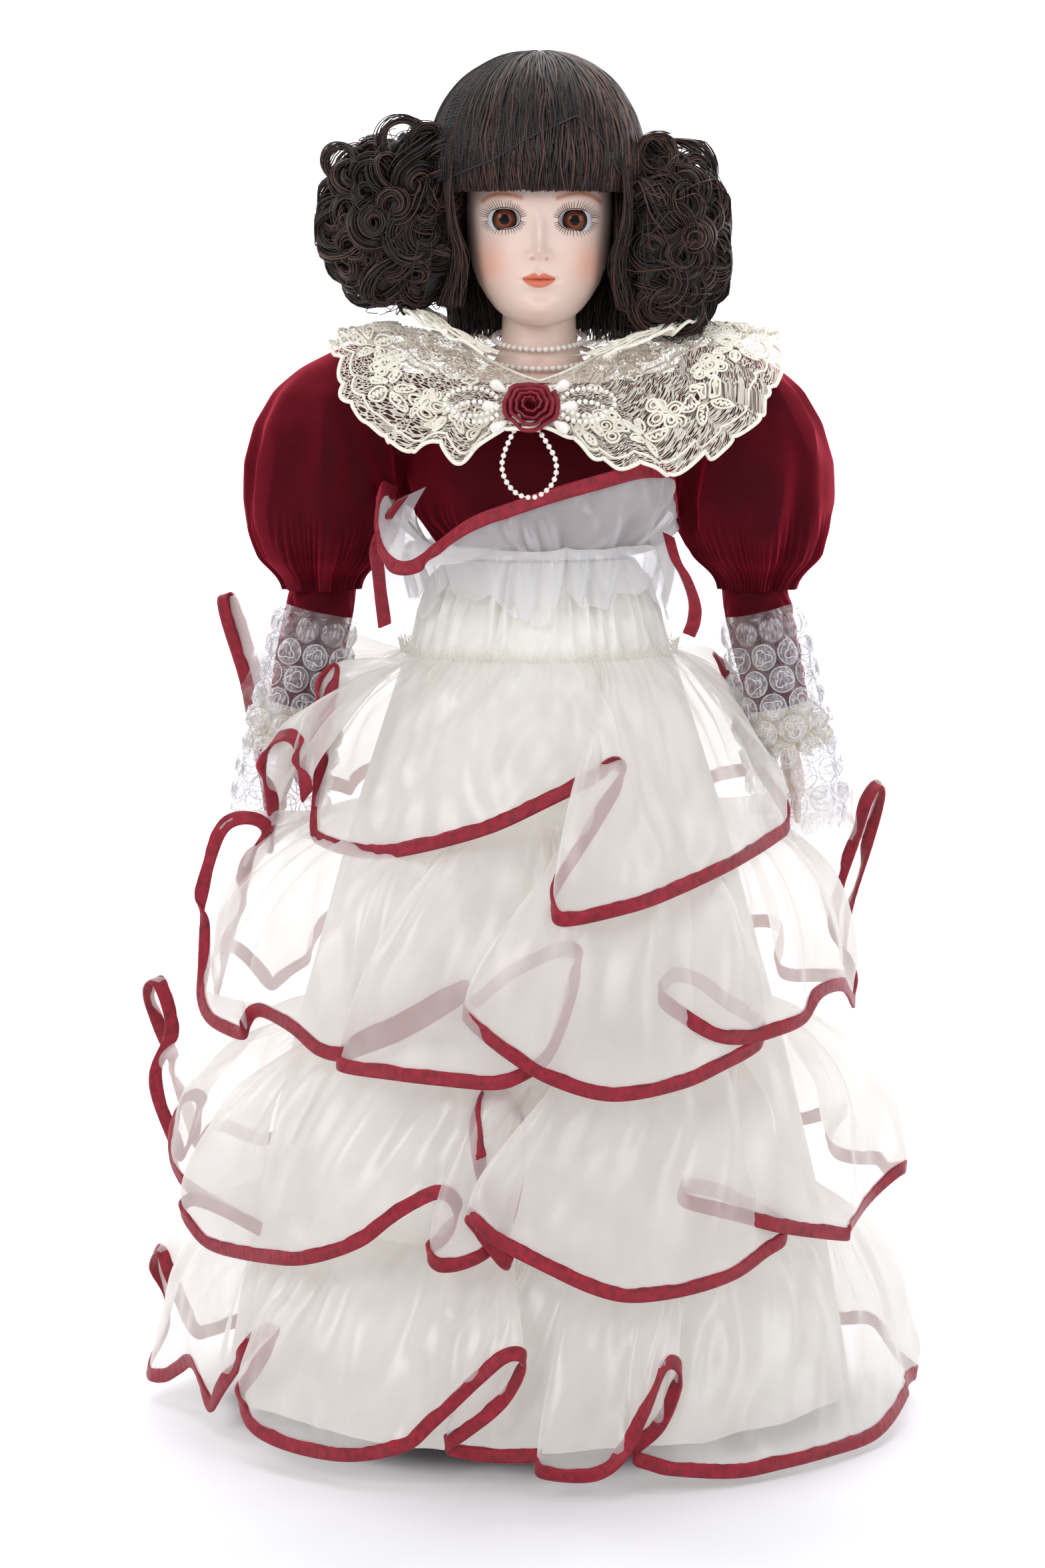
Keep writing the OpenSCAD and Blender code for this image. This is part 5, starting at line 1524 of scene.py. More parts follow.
def sides_and_back():
    g = np.random.default_rng(78)
    # back: falls from the crown to the nape
    n = 1000
    m = 26
    phi = g.uniform(1.35, 2 * math.pi - 1.35, n)
    z = np.linspace(534, 461.5, m)[None]
    k = g.uniform(0.90, 1.02, n)[:, None]
    w = 1.1 * np.sin((z - 461) / 6.5 + g.uniform(0, 6, n)[:, None] + 3 * np.sin(3 * phi)[:, None]) * sm(520, 480, z)
    tap = 1 - 0.10 * sm(500, 462, z)
    x = (41 * k * tap) * np.sin(phi)[:, None] + w
    y = 5 - (45 * k * tap) * np.cos(phi)[:, None] + 0.7 * w
    P = np.stack([x, y, z + 0 * x + g.uniform(-3.5, 4, n)[:, None] * sm(474, 461, z)], -1)
    a = tubes("hair_back", P, 0.45, 3, M_HAIR, flat=0.7)
    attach(a, "doll"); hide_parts("wig_back")
    nu, nv = 90, 40
    ph = np.linspace(1.3, 2 * math.pi - 1.3, nu)
    zz = np.linspace(536, 463, nv)
    tap = 1 - 0.10 * sm(500, 462, zz)
    Q = np.stack([37 * tap[None] * np.sin(ph)[:, None], 5 - 41 * tap[None] * np.cos(ph)[:, None], zz[None] + 0 * ph[:, None]], -1)
    u = grid("hair_back_underlayer", Q, mat=M_HAIRB)
    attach(u, "doll")
    # locks that frame the face and run back into the curls
    for sd, nm in ((1, "left"), (-1, "right")):
        n = 520
        m = 24
        a0 = g.uniform(0.86, 1.5, n)
        top = dome(sd * a0, np.full(n, 1.35), 1.0)
        t = np.linspace(0, 1, m)[None, :, None]
        off = g.normal(0, 1.0, (n, 1, 3)) * np.array([1.3, 2.2, 0.5])
        q1 = np.stack([sd * (36.5 + 2 * (a0 - 0.86)), -27 + 34 * (a0 - 0.86), np.full(n, 512)], 1)
        q2 = np.stack([sd * (32.6 + 5 * (a0 - 0.86)), -22 + 30 * (a0 - 0.86), np.full(n, 492)], 1)
        q3 = np.stack([sd * (35 + 10 * (a0 - 0.86)), -16 + 26 * (a0 - 0.86), np.full(n, 474)], 1)
        K = np.stack([top, q1, q2, q3], 1)
        # cubic through the four
        tt = np.linspace(0, 3, m)
        P = np.zeros((n, m, 3))
        Kp = np.concatenate([2 * K[:, :1] - K[:, 1:2], K, 2 * K[:, -1:] - K[:, -2:-1]], 1)
        for j, s in enumerate(tt):
            i = min(int(s), 2)
            f = s - i
            p0, p1, p2, p3 = Kp[:, i], Kp[:, i + 1], Kp[:, i + 2], Kp[:, i + 3]
            P[:, j] = 0.5 * (2 * p1 + (p2 - p0) * f + (2 * p0 - 5 * p1 + 4 * p2 - p3) * f * f + (3 * p1 - p0 - 3 * p2 + p3) * f ** 3)
        P += off * np.clip(t * 1.6, 0.25, 1)
        P[..., 0] += sd * 0.9 * np.sin(tt[None] * 4 + g.uniform(0, 6, n)[:, None]) * t[..., 0]
        b = tubes(f"hair_face_lock_{nm}", P, 0.42, 3, M_HAIR, flat=0.7)
        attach(b, "doll")


CURL_C = {1: (54, 0, 499), -1: (-60, 0, 508)}
CURL_R = {1: (24, 25, 41), -1: (31, 25, 39)}


def curls():
    g = np.random.default_rng(79)
    for sd, nm in ((1, "left"), (-1, "right")):
        C0 = np.array(CURL_C[sd], float); R0 = np.array(CURL_R[sd], float)
        v = vol(f"hair_mass_{nm}", C0 - np.array([sd * 4, 0, 0]), R0 * np.array([0.80, 0.80, 0.86]), 400 + sd, 4)
        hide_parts(f"wig_curls_{nm}")
        nl = 58
        allP, allR = [], []
        per = 40
        m = 44
        for i in range(nl):
            # spread over the outside of the mass, more of them towards the front
            zf = -0.95 + 1.9 * ((i + 0.5) / nl)
            az = (i * 2.39996) % (2 * math.pi)
            dirv = np.array([math.cos(az) * math.sqrt(max(0, 1 - zf * zf)), math.sin(az) * math.sqrt(max(0, 1 - zf * zf)), zf])
            if dirv[0] * sd < -0.8:
                dirv[0] *= -1
            if dirv[1] > 0 and i % 3 == 0:
                dirv[1] *= -1
            c = C0 + dirv * R0 * g.uniform(0.70, 0.86)
            rho = g.uniform(7.0, 12.5)
            nrm = unit(np.array([0.35 * dirv[0], -0.9, 0.25 * dirv[2]]) + g.normal(0, 0.28, 3))
            a1 = unit(np.cross(nrm, [0.1, 0, 1]))
            b1 = np.cross(nrm, a1)
            turns = g.uniform(1.15, 1.75)
            hand = sd if g.random() < 0.7 else -sd
            root = np.array([sd * g.uniform(33, 40), g.uniform(-20, 22), np.clip(c[2] + g.uniform(8, 30), 480, 541)])
            t = np.linspace(0, 1, m)
            ts = np.clip((t - 0.28) / 0.72, 0, 1)
            ang0 = math.atan2((root - c) @ b1, (root - c) @ a1) + hand * 0.9
            ang = ang0 + hand * 2 * math.pi * turns * ts
            rad = rho * (1 - 0.55 * ts)
            loop = c + (np.cos(ang) * rad)[:, None] * a1 + (np.sin(ang) * rad)[:, None] * b1 + nrm * (5.0 * (ts - 0.4))[:, None]
            s = sm(0, 0.30, t)[:, None]
            start = loop[int(m * 0.28)]
            lead = root + (start - root) * (t / 0.28)[:, None] + np.array([0, 0, 1.0]) * (5 * np.sin(math.pi * np.clip(t / 0.28, 0, 1)))[:, None]
            P0 = np.where((t < 0.28)[:, None], lead, loop)
            for _ in range(5):
                P0[1:-1] = 0.5 * P0[1:-1] + 0.25 * (P0[:-2] + P0[2:])
            T, N, Bn = frames(P0)
            br = np.interp(t, [0, 0.25, 0.7, 1], [2.8, 4.9, 4.2, 1.4])
            rr = np.sqrt(g.random(per)) * 1.0
            aa = g.uniform(0, 2 * math.pi, per)
            tw = aa[:, None] + 2.4 * t[None] * hand + 0.5 * np.sin(5 * t[None] + g.uniform(0, 6, per)[:, None])
            wob = 1 + 0.18 * np.sin(9 * t[None] + g.uniform(0, 6, per)[:, None])
            off = (rr[:, None] * br[None] * wob)[..., None] * (np.cos(tw)[..., None] * N[None] + 0.75 * np.sin(tw)[..., None] * Bn[None])
            allP.append(P0[None] + off)
        P = np.concatenate(allP)
        # keep the curls inside their box and off the face
        lo, hi = (32.5, 80) if sd > 0 else (-92.5, -33)
        x = P[..., 0]
        P[..., 0] = np.where(x < lo, lo + (x - lo) * 0.25, np.where(x > hi, hi + (x - hi) * 0.25, x))
        P[..., 1] = np.clip(P[..., 1], -28.5, 29)
        zlo, zhi = (459.5, 542) if sd > 0 else (467, 549)
        P[..., 2] = np.where(P[..., 2] < zlo, zlo + (P[..., 2] - zlo) * 0.2, np.where(P[..., 2] > zhi, zhi + (P[..., 2] - zhi) * 0.2, P[..., 2]))
        r = 0.46 * np.interp(np.linspace(0, 1, m), [0, 0.05, 0.92, 1], [0.5, 1, 1, 0.4])
        half = len(P) // 2
        third = len(P) // 3
        for part, Q in (("a", P[:third]), ("b", P[third:2 * third]), ("c", P[2 * third:])):
            ob = tubes(f"hair_curls_{nm}_{part}", Q, r, 3, M_HAIR, flat=0.7)
            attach(ob, "doll")
        # open loops that stand out of the mass, and stray hairs
        L = []
        loops = [((-57, -12, 541), 9.5, 0.4), ((-46, -14, 540), 8.0, 1.2), ((-83, -8, 533), 7.0, 0.2), ((-88, -6, 505), 6.5, 2.0)] if sd < 0 else [((49, -12, 536), 8.0, 1.0), ((70, -8, 512), 6.5, 2.2), ((72, -6, 486), 6.5, 0.5)]
        for (c, rho, ph0) in loops:
            for _ in range(34):
                t = np.linspace(0, 1, m)
                an = ph0 + g.normal(0, 0.1) + 2 * math.pi * 1.1 * t
                ra = rho * (1 + 0.07 * g.normal()) * (1 - 0.12 * t)
                cc = np.array(c) + g.normal(0, 0.9, 3)
                L.append(np.stack([cc[0] + ra * np.cos(an), cc[1] + 3.5 * (t - 0.5) + 0.5 * np.sin(an * 2), cc[2] + ra * np.sin(an)], 1))
        for _ in range(110):
            az, el = g.uniform(0, 2 * math.pi), g.uniform(-1, 1)
            dv = np.array([math.cos(az) * math.sqrt(1 - el * el), math.sin(az) * math.sqrt(1 - el * el), el])
            p = C0 + dv * R0 * 0.95
            t = np.linspace(0, 1, m)
            ln = g.uniform(12, 30)
            d2 = unit(np.cross(dv, g.normal(0, 1, 3)))
            L.append(p + d2 * (ln * (t - 0.5))[:, None] + dv * (4.5 * np.sin(math.pi * t) * g.uniform(0.2, 1))[:, None] + np.outer(np.sin(t * 7 + g.uniform(0, 6)), g.normal(0, 1.2, 3)))
        L = np.array(L)
        L[..., 0] = np.clip(L[..., 0], -94 if sd < 0 else 31, -31 if sd < 0 else 84)
        ob = tubes(f"hair_loose_{nm}", L, 0.26, 3, M_HAIR)
        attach(ob, "doll")


def strays():
    g = np.random.default_rng(80)
    L = []
    t = np.linspace(0, 1, 24)
    for _ in range(90):
        ph = g.uniform(-2.2, 2.2)
        th = g.uniform(0.1, 1.2)
        p0 = dome(ph, th, 1.005)
        p1 = dome(ph + g.normal(0, 0.25), th + g.uniform(0.25, 0.6), 1.0)
        c = p0 + (p1 - p0) * t[:, None] + unit(p0 - np.array([0, 5, 528]))[None] * (2.6 * np.sin(math.pi * t) * g.uniform(0.2, 1))[:, None]
        c[:, 2] = np.minimum(c[:, 2], 581)
        L.append(c)
    ob = tubes("hair_strays", np.array(L), 0.16, 3, M_HAIR)
    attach(ob, "doll")


def net_mat():
    k = NT("hair_net_mesh")
    tc = k.n("TexCoord")
    vo = k.n("TexVoronoi", feature="DISTANCE_TO_EDGE", Scale=0.62)
    vo.inputs["Randomness"].default_value = 0.25
    k.link(tc.outputs["UV"], vo.inputs["Vector"])
    mr = k.n("MapRange")
    k.link(vo.outputs["Distance"], mr.inputs["Value"])
    mr.inputs["From Min"].default_value = 0.1
    mr.inputs["From Max"].default_value = 0.15
    mr.inputs["To Min"].default_value = 0.62
    mr.inputs["To Max"].default_value = 0.05
    nz = k.n("TexNoise", Scale=0.2, Detail=3)
    k.link(tc.outputs["UV"], nz.inputs["Vector"])
    col = k.ramp(nz.outputs["Fac"], [(0.3, lin(8, 9, 13)), (0.7, lin(20, 22, 30))])
    p = k.n("BsdfPrincipled", Roughness=0.6)
    k.link(col, p.inputs["Base Color"])
    tp = k.n("BsdfTransparent")
    mx = k.n("MixShader")
    k.link(mr.outputs["Result"], mx.inputs["Fac"])
    k.link(tp.outputs[0], mx.inputs[1])
    k.link(p.outputs[0], mx.inputs[2])
    k.link(mx.outputs[0], k.out.inputs["Surface"])
    return k.m


def hair_net():
    M = net_mat()
    nu, nv = 200, 70
    ph = np.linspace(-math.pi, math.pi, nu + 1)[:-1]
    # the net's lower edge: it rises to a peak over the fringe, right of the middle, and drops to each side
    ex = np.array([-math.pi, -1.9, -1.25, -0.85, -0.42, 0.0, 0.40, 0.62, 0.80, 1.15, 1.9, math.pi])
    ey = np.array([1.78, 1.75, 1.66, 1.60, 1.48, 1.26, 1.10, 1.28, 1.55, 1.68, 1.75, 1.78])
    lim = np.interp(ph, ex, ey)
    t = np.linspace(0.02, 1, nv)
    P = dome(ph[:, None], t[None] * lim[:, None], 1.022 + 0 * t[None] + 0 * ph[:, None])
    P[..., 2] = np.minimum(P[..., 2], 580.2)
    P[..., 1] += (0.6 * sm(540, 521, P[..., 2])) * (np.abs(ph) < 1)[:, None]
    uv = np.stack([ph[:, None] * 42 + 0 * t[None], t[None] * 80 + 0 * ph[:, None]], -1)
    ob = grid("hair_net_mesh", P, cu=True, mat=M, uv=uv)
    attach(ob, "doll"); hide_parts("hair_net")
    E = P[:, -1]
    m = basic("net_cord", lin(10, 10, 14), lin(34, 34, 42), 300, 0.5)
    c = tubes("hair_net_edge", np.vstack([E, E[:1]]), 0.42, 8, m)
    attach(c, "doll")


crown()
sides_and_back()
curls()
strays()
hair_net()


# ---------------------------------------------------------------- collar and jewellery
M_PEARL = basic("pearl_white", lin(236, 230, 222), lin(252, 248, 242), 120, 0.22, coat=0.6, spec=0.6)
M_ROSE = satin_mat("rose_satin", lin(112, 6, 28), lin(160, 16, 46), 0.32, sc=0.3, wrink=0.7)

# the hem of the collar, from the doll's right side round the front to the left
COLLAR = [(-82,6,461),(-85,-10,457),(-84,-26,447),(-81,-37,436),(-74,-42,428),(-66,-45,423),(-57,-50,415),(-45,-53,418),(-34,-56,412),(-24,-56,418),(-14,-56,422),(-2,-55,424),(12,-55,421),(24,-56,413),(40,-54,408),(54,-50,406),(68,-46,412),(78,-42,417),(86,-40,422),(93,-36,430),(98,-26,440),(100,-10,451),(97,8,459),(84,26,460),(66,38,452),(44,46,441),(22,50,433),(0,50,430),(-22,50,433),(-44,46,441),(-64,38,452),(-76,24,459)]


def collar():
    nu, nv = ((720, 60))
    H = resample(catmull(COLLAR, 14, True), nu, True)
    th = seam_angle(H, 90, 50)
    S = np.stack([30 * np.cos(th), 2 + 25.0 * np.sin(th), 446.5 + 8.5 * np.abs(np.cos(th)) - 4.2 * np.clip(-np.sin(th), 0, 1) ** 3], 1)
    s = np.concatenate([[0], np.cumsum(np.linalg.norm(np.diff(H, axis=0), axis=1))])
    u = (np.arange(nu) / nu)[:, None]
    v = np.linspace(0, 1, nv)[None]
    L = s[-1] + np.linalg.norm(H[0] - H[-1])
    nsc = int(round(L / 15))
    sc = np.abs(np.sin(math.pi * nsc * s / L)) ** 0.6
    D = unit(H - S)
    H = H + D * (2.6 * (sc - 0.75))[:, None]
    side = np.abs(np.cos(th))[:, None]
    V = v[..., None]
    P = S[:, None] * (1 - V) + H[:, None] * V
    # rises over the shoulder, then turns down at the edge
    P[..., 2] += (2.5 + 4.5 * side) * np.sin(math.pi * v) * (1 - 0.3 * v)
    fl = np.sin(2 * math.pi * (15 * u + 0.9 * noise1(u, 501, 3, 2)))
    fl2 = np.sin(2 * math.pi * (33 * u + 1.1 * noise1(u, 502, 3, 3)))
    N_ = np.array([0, 0, 1.0]) * 0.75 + unit((H - S) * np.array([1, 1, 0]))[:, None] * 0.5
    amp = (0.9 + 2.2 * side) * v ** 1.2
    d = (fl * amp * 1.3 + fl2 * amp * 0.45 + 0.5)
    P = P + N_ * d[..., None]
    # stays above the sleeves and bodice
    ex, ey = np.abs(P[..., 0]), np.abs(P[..., 1])
    puffz = np.where(ex > 52, 458.5 - np.where(ex > 76, 0.020, 0.03) * (ex - 76) ** 2, 0)
    puffz = puffz - 0.018 * ey ** 2
    P[..., 2] = np.where((ex > 52) & (ey < 33), np.maximum(P[..., 2], puffz + 2.5), P[..., 2])
    uv = np.stack([s[:, None] * (0.35 + 0.65 * v), v * 62 + 0 * u], -1)
    ob = grid("lace_collar_net", P, cu=True, mat=M_NET, uv=uv)
    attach(ob, "doll"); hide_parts("lace_collar")

    def at_uv(a, b):
        """surface point at fractions a (wraps) and b"""
        a = np.mod(a, 1) * nu
        b = np.clip(b, 0, 1) * (nv - 1)
        i0 = np.floor(a).astype(int) % nu; i1 = (i0 + 1) % nu; fa = (a - np.floor(a))[..., None]
        j0 = np.minimum(np.floor(b).astype(int), nv - 2); fb = (b - j0)[..., None]
        return (P[i0, j0] * (1 - fa) + P[i1, j0] * fa) * (1 - fb) + (P[i0, j0 + 1] * (1 - fa) + P[i1, j0 + 1] * fa) * fb

    g = np.random.default_rng(51)
    up = np.array([0, -0.3, 0.95])
    cur = []
    n = 40
    t = np.linspace(0, 1, n)
    wid = np.linalg.norm(H - S, axis=1)

    def put(pts, a0, b0, rot):
        c, s_ = math.cos(rot), math.sin(rot)
        X = pts[:, 0] * c - pts[:, 1] * s_
        Y = pts[:, 0] * s_ + pts[:, 1] * c
        i = int(a0 * nu) % nu
        loc = (0.30 * L + 0.70 * L * b0)
        q = at_uv(a0 + X / loc, b0 + Y / wid[i])
        cur.append(q + up * 1.0)

    m = 30
    for k in range(m):
        a0 = (k + 0.5) / m
        b0 = 0.66 if k % 2 == 0 else 0.74
        rot = g.uniform(0, 6.28)
        if k % 2 == 0:
            # a rose: a coil with petals round it
            put(np.stack([(0.5 + 3.2 * t) * np.cos(t * 2 * math.pi * 2.4), (0.5 + 3.2 * t) * np.sin(t * 2 * math.pi * 2.4)], 1), a0, b0, rot)
            for j in range(6):
                c = j * math.pi / 3
                put(np.stack([5.6 * math.cos(c) + 2.5 * np.cos(2 * math.pi * t), 5.6 * math.sin(c) + 2.5 * np.sin(2 * math.pi * t)], 1), a0, b0, rot)
                put(np.stack([5.4 * math.cos(c) + 1.3 * np.cos(2 * math.pi * t), 5.4 * math.sin(c) + 1.3 * np.sin(2 * math.pi * t)], 1), a0, b0, rot)
        else:
            for j in range(5):
                c = j * 2 * math.pi / 5 + 0.2
                x = 1.5 + 8.0 * t
                for sg in (-1, 1):
                    y = sg * 2.0 * np.sin(math.pi * t) ** 0.8
                    put(np.stack([x * math.cos(c) - y * math.sin(c), x * math.sin(c) + y * math.cos(c)], 1), a0, b0, rot)
                y = 0.9 * np.sin(t * 30) * np.sin(math.pi * t)
                put(np.stack([x * math.cos(c) - y * math.sin(c), x * math.sin(c) + y * math.cos(c)], 1), a0, b0, rot)
        # small sprigs nearer the neck
        if k % 2 == 0:
            put(np.stack([2.4 * np.cos(t * 6.28) * (1 + 0.3 * np.cos(t * 31.4)), 2.4 * np.sin(t * 6.28) * (1 + 0.3 * np.cos(t * 31.4))], 1), a0 + 0.5 / m, 0.32, rot)
    mo = tubes("lace_collar_embroidery", np.array(cur), 0.62, 5, M_CORD, flat=0.8)
    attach(mo, "doll")
    E = np.concatenate([P[:, -1], P[:1, -1]])
    e1 = tubes("lace_collar_edge", E[None], 0.85, 8, M_CORD)
    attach(e1, "doll")
    j = int(nv * 0.90)
    e2 = tubes("lace_collar_inner_cord", np.concatenate([P[:, j], P[:1, j]])[None] + up * 0.25, 0.55, 6, M_CORD)
    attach(e2, "doll")
    e3 = tubes("lace_collar_neck_cord", np.concatenate([P[:, 0], P[:1, 0]])[None], 0.7, 6, M_CORD)
    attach(e3, "doll")
    # the bunched inner frill that stands up beside the neck
    for sd, nm, hgt in ((1, "left", 9.0), (-1, "right", 13.0)):
        na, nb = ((260, 30))
        a = np.linspace(-1.15, 1.25, na)[:, None]
        b = np.linspace(0, 1, nb)[None]
        wv = np.sin(a * 13 + 1.5 * np.sin(a * 3)) * 0.6 + 0.4 * np.sin(a * 29 + sd)
        rad = 27 + (30 if sd < 0 else 40) * b + 3.0 * wv * b
        X = sd * rad * np.cos(a)
        Y = 2 + (24 + 20 * b + 2.0 * wv * b) * np.sin(a)
        Z = 451.5 + 3 * np.cos(a) + hgt * np.sin(b * 2.0) * np.cos(a * 0.9) ** 2 + 5.5 * b * np.cos(a) + 3.2 * wv * b ** 0.8 * np.cos(a) - 3.5 * np.clip(-np.sin(a), 0, 1) * b
        Q = np.stack([X, Y, Z], -1)
        Q[:, -1] += np.array([0, 0, 1.0]) * (1.6 * np.abs(np.sin(a[:, 0] * 11)))[:, None]
        fr = grid(f"lace_frill_{nm}", Q, mat=M_NET, uv=np.stack([a * 60 + 0 * b, 40 * b + 0 * a], -1))
        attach(fr, "doll")
        c1 = tubes(f"lace_frill_edge_{nm}", Q[:, -1][None], 0.8, 6, M_CORD)
        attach(c1, "doll")
        cur = []
        for k in range(9):
            a0 = (k + 0.5) / 9 * (na - 1)
            for kind in range(7):
                if kind == 0:
                    px, py = (0.4 + 3.0 * t) * np.cos(t * 14), (0.4 + 3.0 * t) * np.sin(t * 14)
                else:
                    c = kind * math.pi / 3
                    px, py = 5.0 * math.cos(c) + 2.2 * np.cos(6.283 * t), 5.0 * math.sin(c) + 2.2 * np.sin(6.283 * t)
                ia = np.clip(a0 + px / 0.30 * (na / 260), 0, na - 1.01)
                jb = np.clip((0.66 + py / 38) * (nb - 1), 0, nb - 1.01)
                i0 = ia.astype(int); j0 = jb.astype(int); fa = (ia - i0)[:, None]; fb = (jb - j0)[:, None]
                cur.append((Q[i0, j0] * (1 - fa) + Q[i0 + 1, j0] * fa) * (1 - fb) + (Q[i0, j0 + 1] * (1 - fa) + Q[i0 + 1, j0 + 1] * fa) * fb + np.array([0, -0.2, 0.45]))
        c2 = tubes(f"lace_frill_embroidery_{nm}", np.array(cur), 0.5, 5, M_CORD, flat=0.7)
        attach(c2, "doll")


BR = np.array([-4, -48, 431.4])


def brooch(P):
    P = np.asarray(P, float)
    c, s = math.cos(math.radians(60)), math.sin(math.radians(60))
    return BR + np.stack([P[..., 0], P[..., 1] * c - P[..., 2] * s, P[..., 1] * s + P[..., 2] * c], -1)


def rose():
    # one long ribbon folded round and round, each turn leaning further out
    n = 420
    t = np.linspace(0, 1, n)
    turns = 4.1
    a = t * turns * 2 * math.pi
    r = 1.0 + 8.4 * t ** 0.92
    sq = 1 + 0.055 * np.cos(5 * a / 1.0 + 2 * t) + 0.03 * np.sin(3 * a)
    r = r * sq
    v = np.linspace(0, 1, 12)
    lean = 0.5 + 2.4 * t
    hgt = 7.6 - 3.6 * t
    R = r[:, None] + lean[:, None] * (v[None] ** 1.6) + 0.25 * np.sin(9 * a)[:, None] * v[None]
    Zl = 0.8 + (hgt[:, None]) * np.sin(v[None] * 1.75) / math.sin(1.57)
    P = np.stack([R * np.cos(a)[:, None], R * np.sin(a)[:, None], Zl], -1)
    back = P.copy()
    N_ = np.stack([np.cos(a), np.sin(a), 0 * a], -1)[:, None] * 0.55
    loop = np.concatenate([P + N_ * 0.0, (P + N_)[:, ::-1]], 1)
    s = np.cumsum(np.concatenate([[0], np.linalg.norm(np.diff(P[:, 6], axis=0), axis=1)]))
    ob = grid("ribbon_rose", brooch(loop), cv=True, mat=M_ROSE, uv=np.stack([s[:, None] + 0 * loop[..., 0], np.concatenate([v, v[::-1]])[None] * 8 + 0 * loop[..., 0]], -1))
    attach(ob, "doll"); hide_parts("brooch_rose")
    nu = 60
    th = np.arange(nu) / nu * 2 * math.pi
    pr = [(0.2, 0.4), (6, 0.4), (10.2, 0.6), (11.0, 1.6), (10.0, 2.6), (5, 2.4), (0.2, 2.2)]
    Q = np.stack([np.stack([p[0] * np.cos(th), p[0] * np.sin(th), np.full(nu, p[1])], -1) for p in pr], 1)
    b = grid("rose_backing", brooch(Q), cu=True, mat=M_ROSE, uv=np.stack([th[:, None] * 8 + 0 * Q[..., 0], Q[..., 0]], -1))
    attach(b, "doll")


def jewels():
    # teardrop pearls, three each side, fanned out from the rose
    V, F, o = [], [], 0
    nu, nv = 24, 18
    th = np.arange(nu) / nu * 2 * math.pi
    t = np.linspace(0.02, 0.98, nv)
    prof = 3.0 * np.sqrt(np.clip(np.sin(math.pi * t ** 1.45), 0, 1)) * (0.45 + 0.55 * t)
    for s in (-1, 1):
        for k, ang in ((-1, -0.62), (0, 0.0), (1, 0.62)):
            d = np.array([s * math.cos(ang), math.sin(ang), 0])
            e = np.array([-d[1], d[0], 0])
            base = d * 10.6
            P = base + (t * 9.2)[None, :, None] * d + prof[None, :, None] * (np.cos(th)[:, None, None] * e + np.sin(th)[:, None, None] * np.array([0, 0, 1.0])) + np.array([0, 0, 3.6])
            V.append(brooch(P).reshape(-1, 3)); F.append(grid_faces(nu, nv, True, False) + o); o += nu * nv
    ob = mesh_obj("teardrop_pearls", np.concatenate(V), np.concatenate(F), M_PEARL)
    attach(ob, "doll"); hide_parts("brooch_pearls")

    def beads(name, C, r, step):
        L = length(C)
        n = max(3, int(L / step))
        P = resample(C, n)
        b = balls(name, P, r, M_PEARL, 12, 8)
        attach(b, "doll")
        return b

    M_T = basic("bead_thread", lin(225, 220, 210), lin(245, 242, 236), 800, 0.6)
    first = None
    a = np.linspace(0.35, 2 * math.pi - 0.35, 60)
    for s, nm in ((-1, "right"), (1, "left")):
        for q, (cx, rx, ry, ya) in enumerate(((24, 11, 6.4, 2.0), (22, 9, 4.6, -3.0))):
            C = brooch(np.stack([s * (cx - rx * np.cos(a)), ya + ry * np.sin(a), 3.7 + 1.2 * q + 0 * a], -1))
            b = beads(f"bead_loop_{nm}_{q}", C, 1.05, 2.25)
            if first is None:
                first = b
    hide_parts("bead_loops")
    # strand that hangs from under the rose and comes back up
    pts = [(-10.5, -54.6, 423.5), (-14.0, -56.6, 416), (-15.4, -57.4, 409), (-13.4, -57.6, 402.5), (-8.5, -57.8, 397.5), (-2.0, -57.9, 396.5), (3.6, -57.7, 400.0), (6.6, -57.4, 405.5), (6.4, -57.0, 412), (3.0, -56.2, 418.5), (-0.6, -54.8, 424)]
    C = catmull(pts, 12)
    th_ = tubes("bead_strand_thread", C, 0.3, 8, M_T, cap=True)
    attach(th_, "doll")
    b = beads("bead_strand_beads", C, 1.15, 2.6)
    global CORD
    CORD = (th_, C, b)


def necklace():
    NODES["necklace"].data.materials.clear()
    NODES["necklace"].data.materials.append(M_PEARL)


collar()
rose()
jewels()
necklace()


# ---------------------------------------------------------------- what the skirt and wig hide
M_CLOTH = basic("stuffed_cloth", lin(226, 214, 194), lin(242, 234, 218), 90, 0.85, bump=0.5, bump_scale=1600, sheen=0.3)
M_COTTON = basic("cotton_white", lin(236, 236, 232), lin(250, 250, 248), 70, 0.8, bump=0.4, bump_scale=1800, sheen=0.3)
M_LEATHER = basic("shoe_leather_cream", lin(232, 226, 212), lin(246, 242, 232), 60, 0.35, bump=0.25, bump_scale=900, coat=0.25)
M_SOLE = basic("shoe_sole", lin(150, 118, 84), lin(180, 146, 108), 80, 0.6, bump=0.2)
M_FELT = basic("felt_green_black", lin(24, 30, 26), lin(44, 52, 46), 300, 0.95, bump=0.8, bump_scale=1500, sheen=0.4)
M_METAL = basic("stand_enamel", lin(225, 225, 226), lin(240, 240, 241), 60, 0.3, coat=0.4)
M_STEEL = basic("stand_steel", (0.50, 0.50, 0.52), (0.62, 0.62, 0.64), 120, 0.28, metal=1.0, stretch=(1, 1, 0.2))
M_BRASS = basic("thumb_brass", (0.62, 0.48, 0.22), (0.74, 0.60, 0.32), 200, 0.3, metal=1.0)
M_LEG = basic("bisque_leg", lin(232, 208, 196), lin(242, 222, 211), 40, 0.42, sss=0.12, bump=0.05, bump_scale=3000)
M_PLASTER = basic("plaster", lin(226, 222, 214), lin(244, 242, 236), 160, 0.9, bump=0.6, bump_scale=700)
M_FOAM = basic("pate_foam", lin(214, 196, 150), lin(234, 220, 180), 300, 0.9, bump=0.8, bump_scale=900)
